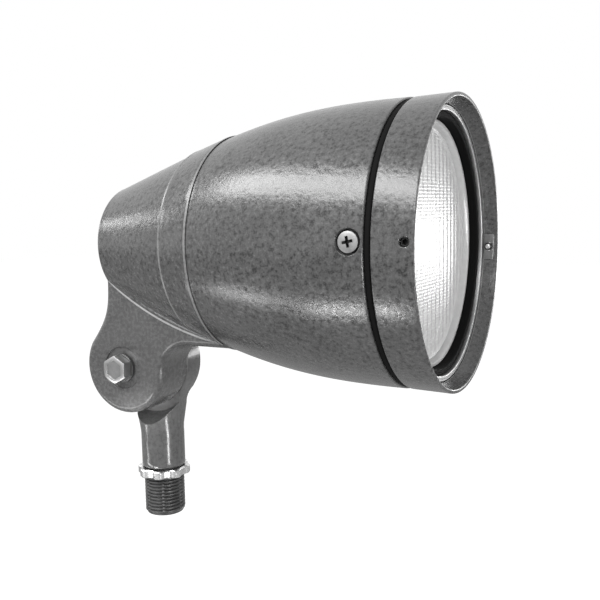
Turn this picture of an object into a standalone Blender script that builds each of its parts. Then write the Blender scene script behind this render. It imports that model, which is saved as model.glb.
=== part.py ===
"""Bullet-shaped LED floodlight on a swivel knuckle with a threaded stub.

The origin is the centre of the stub's lower end. +Z is up, +X is the way the light points,
and the head of the pivot bolt is on the -Y side. All lengths are in metres.
"""

import math

import bmesh
import bpy
from mathutils import Euler, Matrix, Vector

# Clearances
CLEAR = 0.0003
SCREW_CLEAR = 0.0003

# Threaded stub and locknut
STUB_R = 0.01065
STUB_LEN = 0.0257
STUB_CHAMFER = 0.0009
WIRE_R = 0.0060
STEM_SPIGOT_STEP = 0.00245
STEM_SPIGOT_LEN = 0.0120
NUT_WALL = 0.00145
NUT_TOOTH = 0.0016
NUT_T = 0.0045
NUT_NOTCHES = 8
NUT_DROP = 0.0004

# Knuckle
PIVOT_X = -0.0056
PIVOT_Z = 0.0827
KNUCKLE_R = 0.0241
MATE_Y = -0.0010
LUG_T = 0.0229
ARM_T = 0.0134
ARM_STEP = 0.00085
ARM_CHAMFER = 0.0006
ARM_FILLET_R = 0.0170
ARM_REAR_FILLET_R = 0.0300
ARM_BLEND_SINK = 0.0010
SCOOP_GAP = 0.0039
SCOOP_FLARE = 0.0040
SCOOP_SHIFT = 0.0045
STEM_FLARE = 0.0055
STEM_LEAN = 0.0028
FLARE_DROP = 0.0387
BELL_DROP = 0.0235
BELL_R = 0.0113
LUG_FILLET_R = 0.0155
WEB_RISE = 0.0135
WEB_X = 0.0600
WEB_SINK = 0.0120
NECK_LAP = 0.0070
NECK_STEP = 0.0015
NECK_RISE = 0.0370
NECK_SAG = 0.0060
NECK_PULL = 0.0100
EDGE_ROUND = 0.0010
POCKET_WALL = 0.0026
POCKET_DEPTH = 0.0120
ARM_POCKET_DEPTH = 0.0095
ARM_BORE_LEN = 0.0170
ARM_WAY_R = 0.0036
BOSS_WALL = 0.0035
ORING_EDGE = 0.0052
ORING_WIRE_R = 0.0010
ORING_SINK = 0.0023
LUG_WIRE_R = 0.0060
LUG_WAY_LIFT = 0.0011
LUG_WIRE_LEAN = 24.0

# Pivot bolt
BOLT_R = 0.0040
BOLT_AF = 0.0127
BOLT_HEAD_T = 0.0056
BOLT_NUT_T = 0.0067
BOLT_TAIL = 0.0022
WASHER_LAND = 0.00115
WASHER_T = 0.0016
SPOT_MARGIN = 0.0035
SPOT_DEPTH = 0.0008

# Housing
HEAD_RISE = 0.0625
REAR_X = -0.0160
REAR_DOME = 0.0035
REAR_FLAT_R = 0.0190
REAR_R = 0.0297
CONE_ANGLE = 18.8
CONE_PULL = 0.0790
FRONT_PULL = 0.0600
SEAM_X = 0.1446
FRONT_R = 0.0639
WALL = 0.0032
REAR_WALL = 0.0040
BAND_X = 0.0375
BAND_LEN = 0.0180
BAND_RISE = 0.0006
BAND_EDGE = 0.0008

# Hood and seam
GASKET_T = 0.0031
GASKET_SINK = 0.0007
HOOD_LEN = 0.0175
HOOD_FLARE = 0.0006
LIP_T = 0.0018
HOOD_WALL = 0.0043
SPIGOT_STEP = 0.0047
SPIGOT_T = 0.0032
SPIGOT_LEN = 0.0177

# Lens stack
LENS_SINK = 0.0122
LENS_RIM = 0.0031
LENS_FACE_SINK = 0.0027
LENS_T = 0.0060
LENS_GASKET_T = 0.0026
LENS_GASKET_LEN = 0.0103
RING_PROUD = 0.0015
RING_T = 0.0024
RING_LEN = 0.0036
SEAT_LIP = 0.0046
SEAT_T = 0.0030

# Screws round the head
SIDE_TURN = -3.7
HOOD_SCREW_BACK = 0.0062
HOOD_SCREW_HEAD_R = 0.0050
HOOD_SCREW_HEAD_T = 0.0026
HOOD_SCREW_R = 0.0022
HOOD_SCREW_SINK = 0.0002
HOOD_SCREW_LEN = 0.0080
SINK_GAP = 0.0008
SET_SCREW_GAP = 0.0009
SET_SCREW_R = 0.0018
SET_SCREW_LEN = 0.0052
SET_SCREW_SINK = 0.0014
PAD_T = 0.0012
PAD_SINK = 0.0009
PAD_HALF = 0.0065
PAD_FRONT = 0.0024

# Light engine
REFLECTOR_T = 0.0012
REFLECTOR_EDGE_GAP = 0.0027
REFLECTOR_THROAT_R = 0.0120
REFLECTOR_LEN = 0.0390
REFLECTOR_FLANGE = 0.0048
EMITTER_R = 0.0090
EMITTER_T = 0.0012
BOARD_R = 0.0210
BOARD_T = 0.0016
BOARD_SCREW_AT = 0.0165
BOARD_SCREW_R = 0.0014
BOARD_SCREW_HEAD_R = 0.0026
BOARD_SCREW_HEAD_T = 0.0016
BOARD_SCREW_LEN = 0.0070
PLATE_T = 0.0050
PLATE_EDGE_GAP = 0.0004
FIN_COUNT = 4
FIN_T = 0.0022
FIN_PITCH = 0.0100
FIN_LEN = 0.0110
FIN_HALF = 0.0260
LEDGE_T = 0.0085
LEDGE_W = 0.0092
PLATE_SCREW_COUNT = 3
PLATE_SCREW_R = 0.0017
PLATE_SCREW_HEAD_R = 0.0033
PLATE_SCREW_HEAD_T = 0.0020
PLATE_SCREW_LEN = 0.0125
DRIVER_LEN = 0.0480
DRIVER_W = 0.0420
DRIVER_H = 0.0300
DRIVER_ROUND = 0.0025
DRIVER_PLATE_R = 0.0270
DRIVER_PLATE_T = 0.0016
STANDOFF_R = 0.0030
STANDOFF_LEN = 0.0170
STANDOFF_AT = 0.0225

# Facets round a turned piece
BODY_STEPS = 44
RING_STEPS = 32
SMALL_STEPS = 24

# Stations along the beam, worked out from the sizes above
STEM_SPIGOT_R = STUB_R - STEM_SPIGOT_STEP
ARM_R = STUB_R + ARM_STEP
NUT_ROOT_R = STUB_R + CLEAR + NUT_WALL
NUT_R = NUT_ROOT_R + NUT_TOOTH
BOSS_R = BOLT_R + CLEAR + BOSS_WALL
ORING_R = KNUCKLE_R - ORING_EDGE
POCKET_R = ORING_R - ORING_WIRE_R - CLEAR - POCKET_WALL
SCOOP_R = KNUCKLE_R + SCOOP_GAP
BOLT_CORNER_R = BOLT_AF / math.sqrt(3)
WASHER_R = BOLT_AF / 2 + WASHER_LAND
SPOT_R = WASHER_R + SPOT_MARGIN
AXIS_Z = PIVOT_Z + HEAD_RISE
CONE_X = REAR_X + REAR_DOME
NECK_X = REAR_X + NECK_STEP
HOOD_R = FRONT_R + HOOD_FLARE
SPIGOT_R = FRONT_R - SPIGOT_STEP
HOOD_BACK = SEAM_X + GASKET_T
HOOD_FRONT = HOOD_BACK + HOOD_LEN
BORE_R = SPIGOT_R + CLEAR
SPIGOT_BACK = HOOD_BACK - SPIGOT_LEN
LENS_FRONT = HOOD_FRONT - LENS_SINK
LENS_BACK = LENS_FRONT - LENS_T
RING_R = HOOD_R - HOOD_WALL - CLEAR
LENS_GASKET_R = RING_R - RING_T - CLEAR
LENS_R = LENS_GASKET_R - LENS_GASKET_T - CLEAR
LENS_FACE_R = LENS_R - LENS_RIM
SEAT_FRONT = LENS_BACK - CLEAR
SEAT_BACK = SEAT_FRONT - SEAT_T
RING_BACK = SEAT_FRONT + LENS_GASKET_LEN + RING_PROUD - RING_LEN
SET_SCREW_X = RING_BACK + RING_LEN + SET_SCREW_GAP + SET_SCREW_R
MOUTH_R = HOOD_R - LIP_T
REFLECTOR_MOUTH_R = SPIGOT_R - SPIGOT_T - REFLECTOR_EDGE_GAP - REFLECTOR_FLANGE
FLANGE_FRONT = SEAT_BACK - CLEAR
REFLECTOR_BACK = FLANGE_FRONT - REFLECTOR_LEN
BOARD_FRONT = REFLECTOR_BACK - EMITTER_T - 2 * CLEAR
BOARD_BACK = BOARD_FRONT - BOARD_T
PLATE_FRONT = BOARD_BACK - CLEAR
PLATE_BACK = PLATE_FRONT - PLATE_T
LEDGE_FRONT = PLATE_BACK - CLEAR
STANDOFF_FRONT = PLATE_BACK - CLEAR
STANDOFF_BACK = STANDOFF_FRONT - STANDOFF_LEN
DRIVER_PLATE_BACK = STANDOFF_BACK - CLEAR - DRIVER_PLATE_T
DRIVER_FRONT = DRIVER_PLATE_BACK - CLEAR

# Faces of the knuckle across Y
LUG_INNER = MATE_Y - CLEAR / 2
LUG_OUTER = LUG_INNER - LUG_T
ARM_INNER = MATE_Y + CLEAR / 2
ARM_OUTER = ARM_INNER + ARM_T
WEB_Z = PIVOT_Z + WEB_RISE


def clear_scene():
    for item in list(bpy.data.objects):
        bpy.data.objects.remove(item, do_unlink=True)
    for group in list(bpy.data.collections):
        bpy.data.collections.remove(group)


def new_collection(name):
    group = bpy.data.collections.new(name)
    bpy.context.scene.collection.children.link(group)
    return group


clear_scene()
PARTS = new_collection("swivel_floodlight")
CUTTERS = new_collection("cutters")


def material(name, colour, roughness, metallic, transmission=0.0):
    mat = bpy.data.materials.new(name)
    mat.use_nodes = True
    shader = mat.node_tree.nodes["Principled BSDF"]
    shader.inputs["Base Color"].default_value = (*colour, 1.0)
    shader.inputs["Roughness"].default_value = roughness
    shader.inputs["Metallic"].default_value = metallic
    shader.inputs["Transmission Weight"].default_value = transmission
    mat.diffuse_color = (*colour, 1.0)
    return mat


def empty(name, location, rotation=(0, 0, 0), parent=None):
    item = bpy.data.objects.new(name, None)
    item.empty_display_size = 0.02
    item.location = location
    item.rotation_euler = rotation
    item.parent = parent
    PARTS.objects.link(item)
    return item


# The head hangs on the pivot, and its turned pieces on the beam axis. The beam frame's own Z
# is the way the light points, and its own X points down.
TILT = empty("tilt_axis", (PIVOT_X, 0, PIVOT_Z))
BEAM = empty("beam_axis", (-PIVOT_X, 0, HEAD_RISE), (0, math.pi / 2, 0), TILT)


def smooth(mesh, angle=32):
    mesh.shade_smooth()
    mesh.set_sharp_from_angle(angle=math.radians(angle))


def place(item, mat, parent, location, rotation, cutter):
    item.location = location
    item.rotation_euler = rotation
    item.parent = parent
    if mat is not None:
        item.data.materials.append(mat)
    if cutter:
        item.hide_render = True
        item.display_type = "WIRE"
        CUTTERS.objects.link(item)
    else:
        PARTS.objects.link(item)
    return item


def evaluated_copy(item, name):
    """A plain closed mesh of what an object's modifiers or curve settings give."""
    bpy.context.scene.collection.objects.link(item)
    bpy.context.view_layer.update()
    graph = bpy.context.evaluated_depsgraph_get()
    mesh = bpy.data.meshes.new_from_object(item.evaluated_get(graph))
    mesh.name = name
    bpy.data.objects.remove(item, do_unlink=True)
    work = bmesh.new()
    work.from_mesh(mesh)
    bmesh.ops.remove_doubles(work, verts=work.verts, dist=0.000002)
    bmesh.ops.dissolve_degenerate(work, dist=0.000001, edges=work.edges)
    work.to_mesh(mesh)
    work.free()
    mesh.materials.clear()
    return bpy.data.objects.new(name, mesh)


def turned(name, profile, mat=None, parent=None, location=(0, 0, 0), rotation=(0, 0, 0),
           steps=RING_STEPS, cutter=False):
    """Turn (radius, height) points about Z. They run down the outer side of the piece."""
    mesh = bpy.data.meshes.new(name + "_profile")
    work = bmesh.new()
    verts = [work.verts.new((r, 0, z)) for r, z in profile]
    for one, two in zip(verts, verts[1:]):
        work.edges.new((one, two))
    if profile[0][0] > 0 or profile[-1][0] > 0:
        work.edges.new((verts[-1], verts[0]))
    work.to_mesh(mesh)
    work.free()
    item = bpy.data.objects.new(name + "_turn", mesh)
    screw = item.modifiers.new("turn", "SCREW")
    screw.axis = "Z"
    screw.angle = math.tau
    screw.steps = steps
    screw.render_steps = steps
    screw.use_merge_vertices = True
    screw.merge_threshold = 0.000005
    solid = evaluated_copy(item, name)
    smooth(solid.data)
    return place(solid, mat, parent, location, rotation, cutter)


def rod(name, radius, low, high, chamfer=0.0, **where):
    """A round bar between two heights, with its ends chamfered."""
    profile = [(0, high), (radius - chamfer, high)]
    if chamfer:
        profile += [(radius, high - chamfer), (radius, low + chamfer)]
    else:
        profile += [(radius, low)]
    if chamfer:
        profile += [(radius - chamfer, low)]
    profile += [(0, low)]
    return turned(name, profile, **where)


def tube(name, outer, inner, low, high, chamfer=0.0, **where):
    """A ring of rectangular section, with its outer edges chamfered."""
    if chamfer:
        profile = [(inner, high), (outer - chamfer, high), (outer, high - chamfer),
                   (outer, low + chamfer), (outer - chamfer, low), (inner, low)]
    else:
        profile = [(inner, high), (outer, high), (outer, low), (inner, low)]
    return turned(name, profile, **where)


def plate(name, outlines, thickness, bevel=0.0, mat=None, parent=None, location=(0, 0, 0),
          rotation=(0, 0, 0), cutter=False):
    """A flat closed outline, with any holes, as thick as asked and centred on its plane."""
    curve = bpy.data.curves.new(name + "_outline", "CURVE")
    curve.dimensions = "2D"
    curve.fill_mode = "BOTH"
    curve.extrude = thickness / 2
    for points in outlines:
        spline = curve.splines.new("POLY")
        spline.points.add(len(points) - 1)
        for point, (x, y) in zip(spline.points, points):
            point.co = (x, y, 0, 1)
        spline.use_cyclic_u = True
    solid = evaluated_copy(bpy.data.objects.new(name + "_curve", curve), name)
    if bevel:
        edge = solid.modifiers.new("edges", "BEVEL")
        edge.width = bevel
        edge.segments = 2
        edge.limit_method = "ANGLE"
        edge.angle_limit = math.radians(50)
        solid = evaluated_copy(solid, name)
    smooth(solid.data)
    return place(solid, mat, parent, location, rotation, cutter)


def block(name, size, mat=None, parent=None, location=(0, 0, 0), rotation=(0, 0, 0),
          bevel=0.0, cutter=False):
    """A box of the given size, centred, with rounded edges."""
    mesh = bpy.data.meshes.new(name)
    work = bmesh.new()
    bmesh.ops.create_cube(work, size=1.0)
    bmesh.ops.scale(work, vec=size, verts=work.verts)
    work.to_mesh(mesh)
    work.free()
    item = bpy.data.objects.new(name, mesh)
    if bevel:
        edge = item.modifiers.new("edges", "BEVEL")
        edge.width = bevel
        edge.segments = 3
        item = evaluated_copy(item, name)
        smooth(item.data)
    return place(item, mat, parent, location, rotation, cutter)


def boolean(item, other, operation):
    step = item.modifiers.new(other.name, "BOOLEAN")
    step.operation = operation
    step.object = other
    step.solver = "EXACT"
    weld = item.modifiers.new(other.name + "_weld", "WELD")
    weld.merge_threshold = 0.00001


def cut(item, *cutters):
    for other in cutters:
        boolean(item, other, "DIFFERENCE")


def join(item, *others):
    for other in others:
        boolean(item, other, "UNION")


def arc(cx, cy, radius, start, end, count):
    """Points on an arc, angles in degrees, both ends included."""
    angles = [math.radians(start + (end - start) * i / count) for i in range(count + 1)]
    return [(cx + radius * math.cos(a), cy + radius * math.sin(a)) for a in angles]


def bezier(p0, p1, p2, p3, count):
    points = []
    for i in range(count + 1):
        t = i / count
        weights = ((1 - t) ** 3, 3 * t * (1 - t) ** 2, 3 * t * t * (1 - t), t ** 3)
        points.append(tuple(sum(w * p[k] for w, p in zip(weights, (p0, p1, p2, p3)))
                            for k in (0, 1)))
    return points


def hexagon(name, flats, low, high, chamfer, **where):
    """A hexagon bar with its top corners turned off, as on a bolt head."""
    bar = plate(name, [arc(0, 0, flats / math.sqrt(3), 30, 330, 5)], high - low,
                location=(0, 0, (high + low) / 2))
    corner = flats / math.sqrt(3) + CLEAR
    cap = turned(name + "_cap", [(0, high), (flats / 2 - chamfer / 2, high),
                                 (corner, high - chamfer), (corner, low - CLEAR),
                                 (0, low - CLEAR)], cutter=True)
    boolean(bar, cap, "INTERSECT")
    return bar


# Materials
PAINT = material("textured_grey_paint", (0.150, 0.150, 0.150), 0.42, 0.55)
ARM_PAINT = material("arm_grey_paint", (0.150, 0.150, 0.150), 0.30, 0.60)
RUBBER = material("black_rubber", (0.012, 0.012, 0.012), 0.70, 0.0)
ZINC = material("bright_zinc", (0.60, 0.60, 0.60), 0.30, 1.0)
STEEL = material("steel", (0.45, 0.45, 0.44), 0.35, 1.0)
DARK_STEEL = material("dark_thread", (0.055, 0.055, 0.055), 0.50, 0.7)
GLASS = material("clear_lens", (0.92, 0.92, 0.92), 0.08, 0.0, 0.9)
MIRROR = material("bright_reflector", (0.85, 0.85, 0.85), 0.12, 1.0)
ALUMINIUM = material("bare_aluminium", (0.62, 0.62, 0.63), 0.40, 1.0)
BOARD = material("white_board", (0.80, 0.80, 0.80), 0.50, 0.0)
PHOSPHOR = material("phosphor", (0.90, 0.72, 0.20), 0.45, 0.0)
DRIVER_CASE = material("driver_case", (0.05, 0.05, 0.05), 0.55, 0.0)


def housing_outline():
    """(radius, station) points down the outer side of the body, front to rear."""
    slope = math.radians(CONE_ANGLE)
    rear = (CONE_X, REAR_R)
    front = (SEAM_X, FRONT_R)
    pull = (rear[0] + CONE_PULL * math.cos(slope), rear[1] + CONE_PULL * math.sin(slope))
    points = bezier(rear, pull, (front[0] - FRONT_PULL, front[1]), front, 13)
    skin = [(x, r) for x, r in points if not BAND_X < x < BAND_X + BAND_LEN]

    def radius_at(x):
        for (x0, r0), (x1, r1) in zip(points, points[1:]):
            if x0 <= x <= x1:
                return r0 + (r1 - r0) * (x - x0) / (x1 - x0)
        return points[-1][1]

    band = [(BAND_X, 0), (BAND_X + BAND_EDGE, BAND_RISE),
            (BAND_X + BAND_LEN / 2, BAND_RISE),
            (BAND_X + BAND_LEN - BAND_EDGE, BAND_RISE), (BAND_X + BAND_LEN, 0)]
    skin += [(x, radius_at(x) + rise) for x, rise in band]
    skin.sort(reverse=True)
    dome = [(CONE_X - REAR_DOME * math.sin(a),
             REAR_FLAT_R + (REAR_R - REAR_FLAT_R) * math.cos(a))
            for a in (math.radians(d) for d in (23, 45, 68, 90))]
    outer = [(r, x) for x, r in skin] + [(r, x) for x, r in dome]
    return outer, radius_at


def lug_outline():
    """The lug's side view about the pivot: disc, front fillet, web and rear neck."""
    below = WEB_RISE - LUG_FILLET_R
    reach = math.sqrt((KNUCKLE_R + LUG_FILLET_R) ** 2 - below ** 2)
    meet = math.degrees(math.atan2(below, reach))
    web_end = WEB_X - PIVOT_X
    fillet = arc(reach, below, LUG_FILLET_R, meet + 180, 90, 8)
    disc = arc(0, 0, KNUCKLE_R, 150, 360 + meet, 22)
    neck = NECK_X - PIVOT_X
    top = HEAD_RISE - REAR_FLAT_R + NECK_LAP
    rear = bezier((neck, top), (neck, NECK_RISE - NECK_SAG), (neck, NECK_RISE - NECK_PULL),
                  disc[0], 7)
    return rear + disc[1:] + fillet[1:] + [(web_end, WEB_RISE), (web_end, WEB_RISE + WEB_SINK)]


def fillet_radius(side):
    """Radius of the fillet between stem and disc, in front (1) or behind (-1)."""
    return ARM_FILLET_R if side == 1 else ARM_REAR_FILLET_R


def fillet_height(side):
    """Height at which that fillet leaves the stem."""
    radius = fillet_radius(side)
    across = side * (ARM_R + radius) - PIVOT_X
    return PIVOT_Z - math.sqrt((KNUCKLE_R + radius) ** 2 - across ** 2)


def arm_outline():
    """The arm's side view about the stub axis: disc and stem with a fillet on each side."""
    for side in (1, -1):
        radius = fillet_radius(side)
        centre_x = side * (ARM_R + radius)
        centre_z = fillet_height(side)
        touch = math.degrees(math.atan2(PIVOT_Z - centre_z, PIVOT_X - centre_x))
        if side == 1:
            right = arc(centre_x, centre_z, radius, 180, touch, 6)
            start = touch - 180
        else:
            left = arc(centre_x, centre_z, radius, touch, 0, 6)
            stop = touch + 180
    disc = arc(PIVOT_X, PIVOT_Z, KNUCKLE_R, start, stop, 26)
    foot = STUB_LEN + CLEAR + STEM_SPIGOT_LEN
    return [(-ARM_R, foot), (ARM_R, foot)] + right + disc[1:-1] + left


def build_stub():
    stub_top = STUB_LEN
    profile = [(WIRE_R, stub_top + STEM_SPIGOT_LEN), (STEM_SPIGOT_R, stub_top + STEM_SPIGOT_LEN),
               (STEM_SPIGOT_R, stub_top), (STUB_R, stub_top), (STUB_R, STUB_CHAMFER),
               (STUB_R - STUB_CHAMFER, 0), (WIRE_R, 0)]
    turned("threaded_stub", profile, DARK_STEEL, steps=32)
    nut_top = stub_top - NUT_DROP
    rim = []
    for i in range(NUT_NOTCHES):
        turn = 360 * i / NUT_NOTCHES
        rim += arc(0, 0, NUT_R, turn - 13, turn + 13, 3)
        rim += arc(0, 0, NUT_ROOT_R, turn + 16, turn + 29, 1)
    hole = arc(0, 0, STUB_R + CLEAR, 0, 348.75, 31)
    plate("locknut", [rim, hole], NUT_T, 0.0, ZINC, location=(0, 0, nut_top - NUT_T / 2))


def front_bell():
    """The half knuckle's outer front corner, drawn in where it meets the stem."""
    low = PIVOT_Z - BELL_DROP
    inside = ARM_R + STEM_FLARE / 3
    flare = [(inside + BELL_R * (1 - math.cos(a)), low + BELL_R * math.sin(a))
             for a in (math.radians(d) for d in (84, 70, 56, 42, 28, 14, 0))]
    high = PIVOT_Z + 2 * KNUCKLE_R
    foot = STUB_LEN + CLEAR + STEM_SPIGOT_LEN / 2
    bell = turned("front_bell", [(0, high), (2 * KNUCKLE_R, high),
                                 (2 * KNUCKLE_R, low + 1.2 * BELL_R)] + flare
                  + [(ARM_R, low - BELL_R), (ARM_R, foot), (0, foot)], steps=36, cutter=True)
    for vert in bell.data.vertices:
        if vert.co.x < -CLEAR:
            vert.co.x = -3 * KNUCKLE_R
    return bell


def build_arm():
    floor = STUB_LEN + CLEAR
    top = PIVOT_Z - KNUCKLE_R / 2
    pocket_y = ARM_INNER + ARM_POCKET_DEPTH
    low = PIVOT_Z - FLARE_DROP
    wall = [(ARM_R + STEM_FLARE * (i / 5) ** 2, low + (top - low) * i / 5) for i in range(6)]
    arm = turned("swivel_arm", [(0, top)] + wall[::-1] + [(ARM_R, floor + ARM_CHAMFER),
                                (ARM_R - ARM_CHAMFER, floor), (0, floor)], ARM_PAINT, steps=40)
    for vert in arm.data.vertices:
        vert.co.x -= STEM_LEAN * max(0.0, (vert.co.z - low) / (top - low))
        vert.co.y = min(vert.co.y, ARM_OUTER - EDGE_ROUND)
    middle = (ARM_INNER + ARM_OUTER) / 2
    half = plate("arm_disc", [arm_outline()], ARM_T, EDGE_ROUND, rotation=(math.pi / 2, 0, 0),
                 location=(0, middle, 0), cutter=True)
    neck = fillet_height(-1) - ARM_BLEND_SINK
    inside = ARM_R - EDGE_ROUND / 2
    flare = [(inside + ARM_REAR_FILLET_R * (1 - math.cos(a)),
              neck + ARM_REAR_FILLET_R * math.sin(a))
             for a in (math.radians(d) for d in (72, 60, 48, 36, 24, 12))]
    high = PIVOT_Z + 2 * KNUCKLE_R
    bell = turned("arm_bell", [(0, high), (2 * KNUCKLE_R, high)] + flare
                  + [(inside, neck), (inside, floor + STEM_SPIGOT_LEN), (0, floor + STEM_SPIGOT_LEN)],
                  steps=36, cutter=True)
    boolean(half, bell, "INTERSECT")
    boolean(half, front_bell(), "INTERSECT")
    face = -ARM_INNER - EDGE_ROUND / 8
    depth = ARM_R + STEM_FLARE - face
    rings = [(SCOOP_R + SCOOP_FLARE * (i / 5) ** 1.5, face + depth * i / 5) for i in range(6)]
    scoop = turned("lug_scoop", [(0, face + depth)] + rings[::-1] + [(0, face)],
                   location=(PIVOT_X, 0, PIVOT_Z), rotation=(math.pi / 2, 0, 0), steps=48,
                   cutter=True)
    for vert in scoop.data.vertices:
        vert.co.x += SCOOP_SHIFT * (vert.co.z - face) / depth
    cut(arm, scoop)
    join(arm, half)
    side = (math.pi / 2, 0, 0)
    centre = (PIVOT_X, 0, PIVOT_Z)
    pocket = tube("arm_pocket", POCKET_R, BOSS_R, -pocket_y, -ARM_INNER + 0.002,
                  location=centre, rotation=side, cutter=True)
    bore = rod("arm_wire_way", WIRE_R, floor + STEM_SPIGOT_LEN - 0.001, floor + ARM_BORE_LEN,
               steps=SMALL_STEPS, cutter=True)
    knee = Vector((0, 0, floor + ARM_BORE_LEN - WIRE_R))
    mouth = Vector((PIVOT_X / 2, pocket_y - ARM_WAY_R / 2, PIVOT_Z - (BOSS_R + POCKET_R) / 2))
    lean = (mouth - knee).to_track_quat("Z", "Y").to_euler()
    way = rod("arm_knuckle_way", ARM_WAY_R, 0, (mouth - knee).length, location=knee,
              rotation=lean, steps=16, cutter=True)
    socket = rod("arm_socket", STEM_SPIGOT_R + CLEAR, floor - 0.001,
                 floor + STEM_SPIGOT_LEN + CLEAR, steps=32, cutter=True)
    hole = rod("arm_bolt_hole", BOLT_R + CLEAR, -ARM_OUTER - 0.002, -ARM_INNER + 0.002,
               steps=SMALL_STEPS, location=centre, rotation=side, cutter=True)
    cut(arm, hole, socket, bore, way, pocket)


def build_bolt():
    side = (math.pi / 2, 0, 0)
    centre = (PIVOT_X, 0, PIVOT_Z)
    seat = -(LUG_OUTER + SPOT_DEPTH)
    washer_low = seat + CLEAR
    head_low = washer_low + WASHER_T + CLEAR
    nut_high = -(ARM_OUTER + CLEAR + WASHER_T + CLEAR)
    tail = nut_high - BOLT_NUT_T - BOLT_TAIL
    bolt = hexagon("pivot_bolt", BOLT_AF, head_low, head_low + BOLT_HEAD_T, 0.0012)
    bolt.data.materials.append(ZINC)
    bolt.location = (PIVOT_X, -(head_low + BOLT_HEAD_T / 2), PIVOT_Z)
    bolt.rotation_euler = side
    cap = bpy.data.objects["pivot_bolt_cap"]
    cap.location = centre
    cap.rotation_euler = side
    shank = rod("pivot_bolt_shank", BOLT_R, tail, head_low + BOLT_HEAD_T / 2, 0.0006,
                steps=SMALL_STEPS, location=centre, rotation=side, cutter=True)
    join(bolt, shank)
    tube("bolt_washer", WASHER_R, BOLT_R + CLEAR, washer_low, washer_low + WASHER_T, mat=ZINC,
         steps=32, location=centre, rotation=side)
    tube("nut_washer", WASHER_R, BOLT_R + CLEAR, nut_high + CLEAR, nut_high + CLEAR + WASHER_T,
         mat=ZINC, steps=32, location=centre, rotation=side)
    nut_hole = arc(0, 0, BOLT_R + CLEAR, 0, 345, 23)
    plate("pivot_nut", [arc(0, 0, BOLT_AF / math.sqrt(3), 30, 330, 5), nut_hole], BOLT_NUT_T, 0.0,
          ZINC, location=(PIVOT_X, -nut_high + BOLT_NUT_T / 2, PIVOT_Z), rotation=side)
    ring_y = LUG_INNER - ORING_SINK + ORING_WIRE_R + CLEAR
    ring = [(ORING_R + ORING_WIRE_R * math.cos(a), ORING_WIRE_R * math.sin(a))
            for a in (-math.tau * i / 8 for i in range(8))]
    turned("knuckle_oring", ring, RUBBER, steps=28, location=(0, ring_y, 0),
           rotation=side, parent=TILT)


def build_housing():
    outer, radius_at = housing_outline()
    solid = [(0, SEAM_X)] + outer + [(0, REAR_X)]
    housing = turned("housing", solid, PAINT, BEAM, steps=BODY_STEPS)

    lug = plate("lug", [lug_outline()], LUG_T, EDGE_ROUND, parent=TILT,
                location=(0, (LUG_INNER + LUG_OUTER) / 2, 0), rotation=(math.pi / 2, 0, 0),
                cutter=True)
    join(housing, lug)

    ledge_back = LEDGE_FRONT - LEDGE_T
    cone_low = REAR_X + REAR_WALL
    stations = [0.004, 0.018, 0.034, 0.050, 0.064]
    stations = [x for x in stations if x < ledge_back - LEDGE_W]
    chamber = radius_at(LEDGE_FRONT) - WALL
    cavity = [(0, SEAM_X + 0.001), (BORE_R, SEAM_X + 0.001), (BORE_R, SPIGOT_BACK - 0.0015),
              (chamber, SPIGOT_BACK - 0.0015), (chamber, LEDGE_FRONT),
              (chamber - LEDGE_W, LEDGE_FRONT), (chamber - LEDGE_W, ledge_back),
              (radius_at(ledge_back - LEDGE_W) - WALL, ledge_back - LEDGE_W)]
    cavity += [(radius_at(x) - WALL, x) for x in reversed(stations)]
    cavity += [(radius_at(CONE_X + 0.002) - WALL - 0.001, CONE_X + 0.006),
               (REAR_R - WALL - 0.007, cone_low), (0, cone_low)]
    hollow = turned("housing_cavity", cavity, parent=BEAM, steps=BODY_STEPS, cutter=True)
    cut(housing, hollow)

    side = (math.pi / 2, 0, 0)
    pocket = tube("lug_pocket", POCKET_R, BOSS_R, -LUG_INNER - 0.002,
                  -LUG_INNER + POCKET_DEPTH, parent=TILT, rotation=side, cutter=True)
    groove = tube("oring_groove", ORING_R + ORING_WIRE_R + CLEAR, ORING_R - ORING_WIRE_R - CLEAR,
                  -LUG_INNER - 0.001, -LUG_INNER + ORING_SINK, parent=TILT, rotation=side,
                  steps=28, cutter=True)
    hole = rod("lug_bolt_hole", BOLT_R + CLEAR, -LUG_INNER - 0.002, -LUG_OUTER + 0.002,
               parent=TILT, rotation=side, steps=SMALL_STEPS, cutter=True)
    spot = rod("spot_face", SPOT_R, -LUG_OUTER - SPOT_DEPTH, -LUG_OUTER + 0.002, parent=TILT,
               rotation=side, cutter=True)
    lean = math.radians(LUG_WIRE_LEAN)
    way = rod("lug_wire_way", LUG_WIRE_R, BOSS_R + 0.003, HEAD_RISE * 0.80, parent=TILT,
              location=(0, LUG_INNER - POCKET_DEPTH + LUG_WAY_LIFT, 0), rotation=(0, lean, 0), steps=SMALL_STEPS,
              cutter=True)
    cut(housing, hole, spot, pocket, groove, way)

    for name, screw_side in side_ways():
        at = (0, 0, SEAM_X - HOOD_SCREW_BACK)
        top = radius_at(SEAM_X - HOOD_SCREW_BACK) - HOOD_SCREW_SINK
        sink = rod("screw_sink_" + name, HOOD_SCREW_HEAD_R + SINK_GAP,
                   top - HOOD_SCREW_HEAD_T - CLEAR, top + 0.004, parent=BEAM, location=at,
                   rotation=screw_side, steps=SMALL_STEPS, cutter=True)
        pilot = rod("screw_pilot_" + name, HOOD_SCREW_R + SCREW_CLEAR, BORE_R - 0.004,
                    top, parent=BEAM, location=at, rotation=screw_side, steps=16, cutter=True)
        cut(housing, sink, pilot)

    for turn in plate_screw_turns():
        at = plate_screw_at(turn)
        pilot = rod("plate_pilot_%d" % turn, PLATE_SCREW_R + SCREW_CLEAR,
                    PLATE_FRONT - PLATE_SCREW_LEN - 2 * CLEAR, PLATE_FRONT, parent=BEAM,
                    location=(at[0], at[1], 0), steps=12, cutter=True)
        cut(housing, pilot)
    return radius_at


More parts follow.
